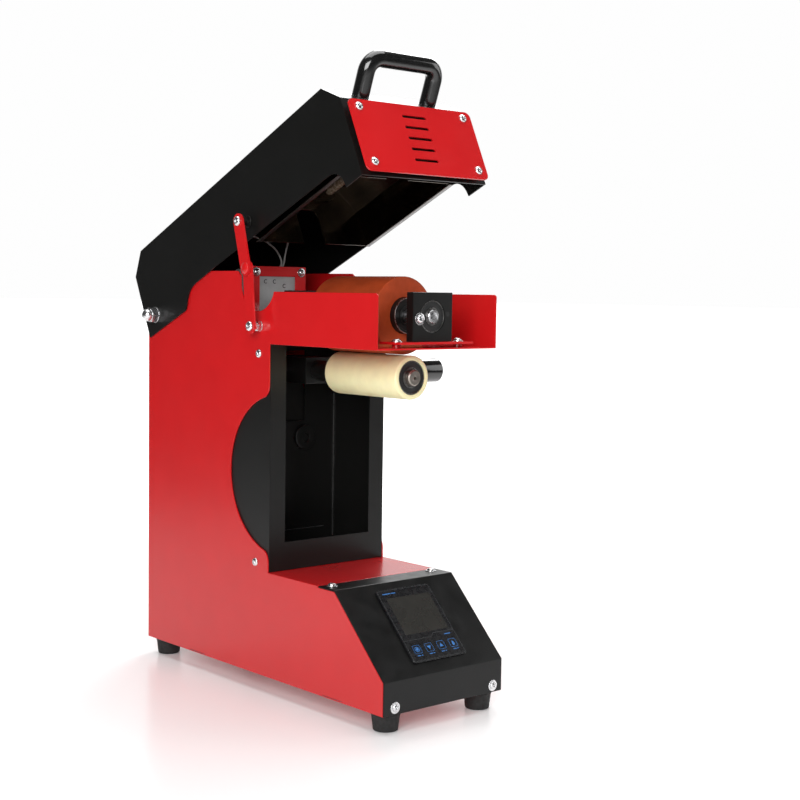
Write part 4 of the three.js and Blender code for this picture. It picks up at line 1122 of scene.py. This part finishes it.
def add_other_screws():
    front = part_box("motor_bracket")[0].y
    bracket = [(Vector((at(x, 0, 0).x, front, at(0, 0, 537).z)), -Y, 4.6, 2.8, 6.4) for x in (60, 137.5)]
    screw_set("bracket_screws", "root", bracket)
    plate = [(in_lid(x, 504, z), lid_direction(1, 0), 5.6, 3.4, None)
             for z in (56.5, -18.5) for x in (13.5, 186.5)]
    screw_set("plate_screws", "lid", plate)
    rear = [(at(x, DEPTH, z), Y, 5.0, 2.7, None) for x in (12, 188) for z in (14, 225, 436)]
    screw_set("rear_screws", "root", rear)


# ---- display ----

BEZEL = (57.5, 147.5, 16.5, 125.5)
SCREEN = (68, 140, 56.5, 112)
BEZEL_TOP = 2.6
KEYS = (73.0, 93.2, 113.4, 133.6)
KEY_Y = 34.4
KEY_HALF = 5.8


def slope_place(out):
    """Drawn across (x) and up the slope (y), standing out millimetres from it."""
    rotation = Matrix((X, SLOPE_UP, SLOPE_OUT)).transposed().to_4x4()
    return Matrix.Translation(on_slope(0, 0, out)) @ rotation


def add_display():
    x0, x1, y0, y1 = BEZEL
    plate = flat_plate(round_rectangle(x0, x1, y0, y1, 4), 0.3, BEZEL_TOP, 0.4)
    piece("display_front", *moved(plate, slope_place(0)), "root", "dark_plastic", material=LABEL_FILM,
          replaces=["display_bezel"])
    glass = flat_plate(round_rectangle(*SCREEN, 1.2), BEZEL_TOP - 0.1, BEZEL_TOP + 0.12, 0.06)
    piece("display_glass", *moved(glass, slope_place(0)), "root", "screen", replaces=["display_module"])
    top = slope_place(BEZEL_TOP)
    border = thin_strip(round_rectangle(x0 + 1.6, x1 - 1.6, y0 + 1.6, y1 - 1.6, 3), 0.35, top)
    low, high = 48.5, 53.1
    step = thin_strip([(x0 + 2, low), (106, low), (111, high), (x1 - 2, high)], 0.4, top, closed=False)
    piece("display_lines", *joined(border, step), "root", "dark_plastic", material=WHITE_INK)


def stroke(start, end, y, width):
    """A level printed stroke on the display's face."""
    return thin_strip([(start, y), (end, y)], width, slope_place(BEZEL_TOP), closed=False)


def solid_mark(outline):
    return moved(flat_plate(outline, 0, 0.12, 0.02), slope_place(BEZEL_TOP))


def key_signs():
    """What is printed on the four keys: a clock, an arrow down, an arrow up and a drop."""
    clock, down, up, drop_x = KEYS
    dial = thin_strip(disc(clock, KEY_Y, 3.4), 0.6, slope_place(BEZEL_TOP))
    drop = [(drop_x + 2.6 * math.sin(a) * math.sin(a / 2) ** 1.2, KEY_Y - 0.2 + 3.6 * math.cos(a))
            for a in circle_angles(24)]
    return [solid_mark(disc(clock, KEY_Y, 2.0)), dial,
            solid_mark([(down - 3, KEY_Y + 2.2), (down, KEY_Y - 3.0), (down + 3, KEY_Y + 2.2)]),
            solid_mark([(up - 3, KEY_Y - 2.2), (up + 3, KEY_Y - 2.2), (up, KEY_Y + 3.0)]), solid_mark(drop)]


def add_display_marks():
    """Blue print: the keys, and plain strokes for the words under them and for the maker's words."""
    marks = key_signs()
    word_y = KEY_Y - KEY_HALF - 3.2
    for x in KEYS:
        key = round_rectangle(x - KEY_HALF, x + KEY_HALF, KEY_Y - KEY_HALF, KEY_Y + KEY_HALF, 1.6)
        marks.append(thin_strip(key, 0.35, slope_place(BEZEL_TOP)))
        marks += [stroke(x - 4.5, x + 1.0, word_y, 1.0), stroke(x + 2.2, x + 4.5, word_y, 1.0)]
    marks += [stroke(66, 79, 119, 1.3), stroke(80.5, 87.5, 119, 1.3), stroke(128, 138, 48.5, 1.2)]
    piece("display_marks", *joined(*marks), "root", "dark_plastic", material=BLUE_INK)


# ---- the whole scene ----


BUILDERS = (add_camera, add_studio, dress_nodes, add_silicone_roller, add_roller_hubs, add_bearings,
            add_coupling, add_mandrel, add_mandrel_spindle, add_grip, add_arm_shafts, add_press_spring,
            add_spring_bolt, add_feet, add_hinge, add_stay_pins, add_handle, add_heater_tubes,
            add_heater_leads, add_hood_flanges, add_edge_slots, add_recess_seams, add_gear_head_marks,
            add_panel_screws, add_block_screws, add_other_screws, add_display, add_display_marks)

for build in BUILDERS:
    build()
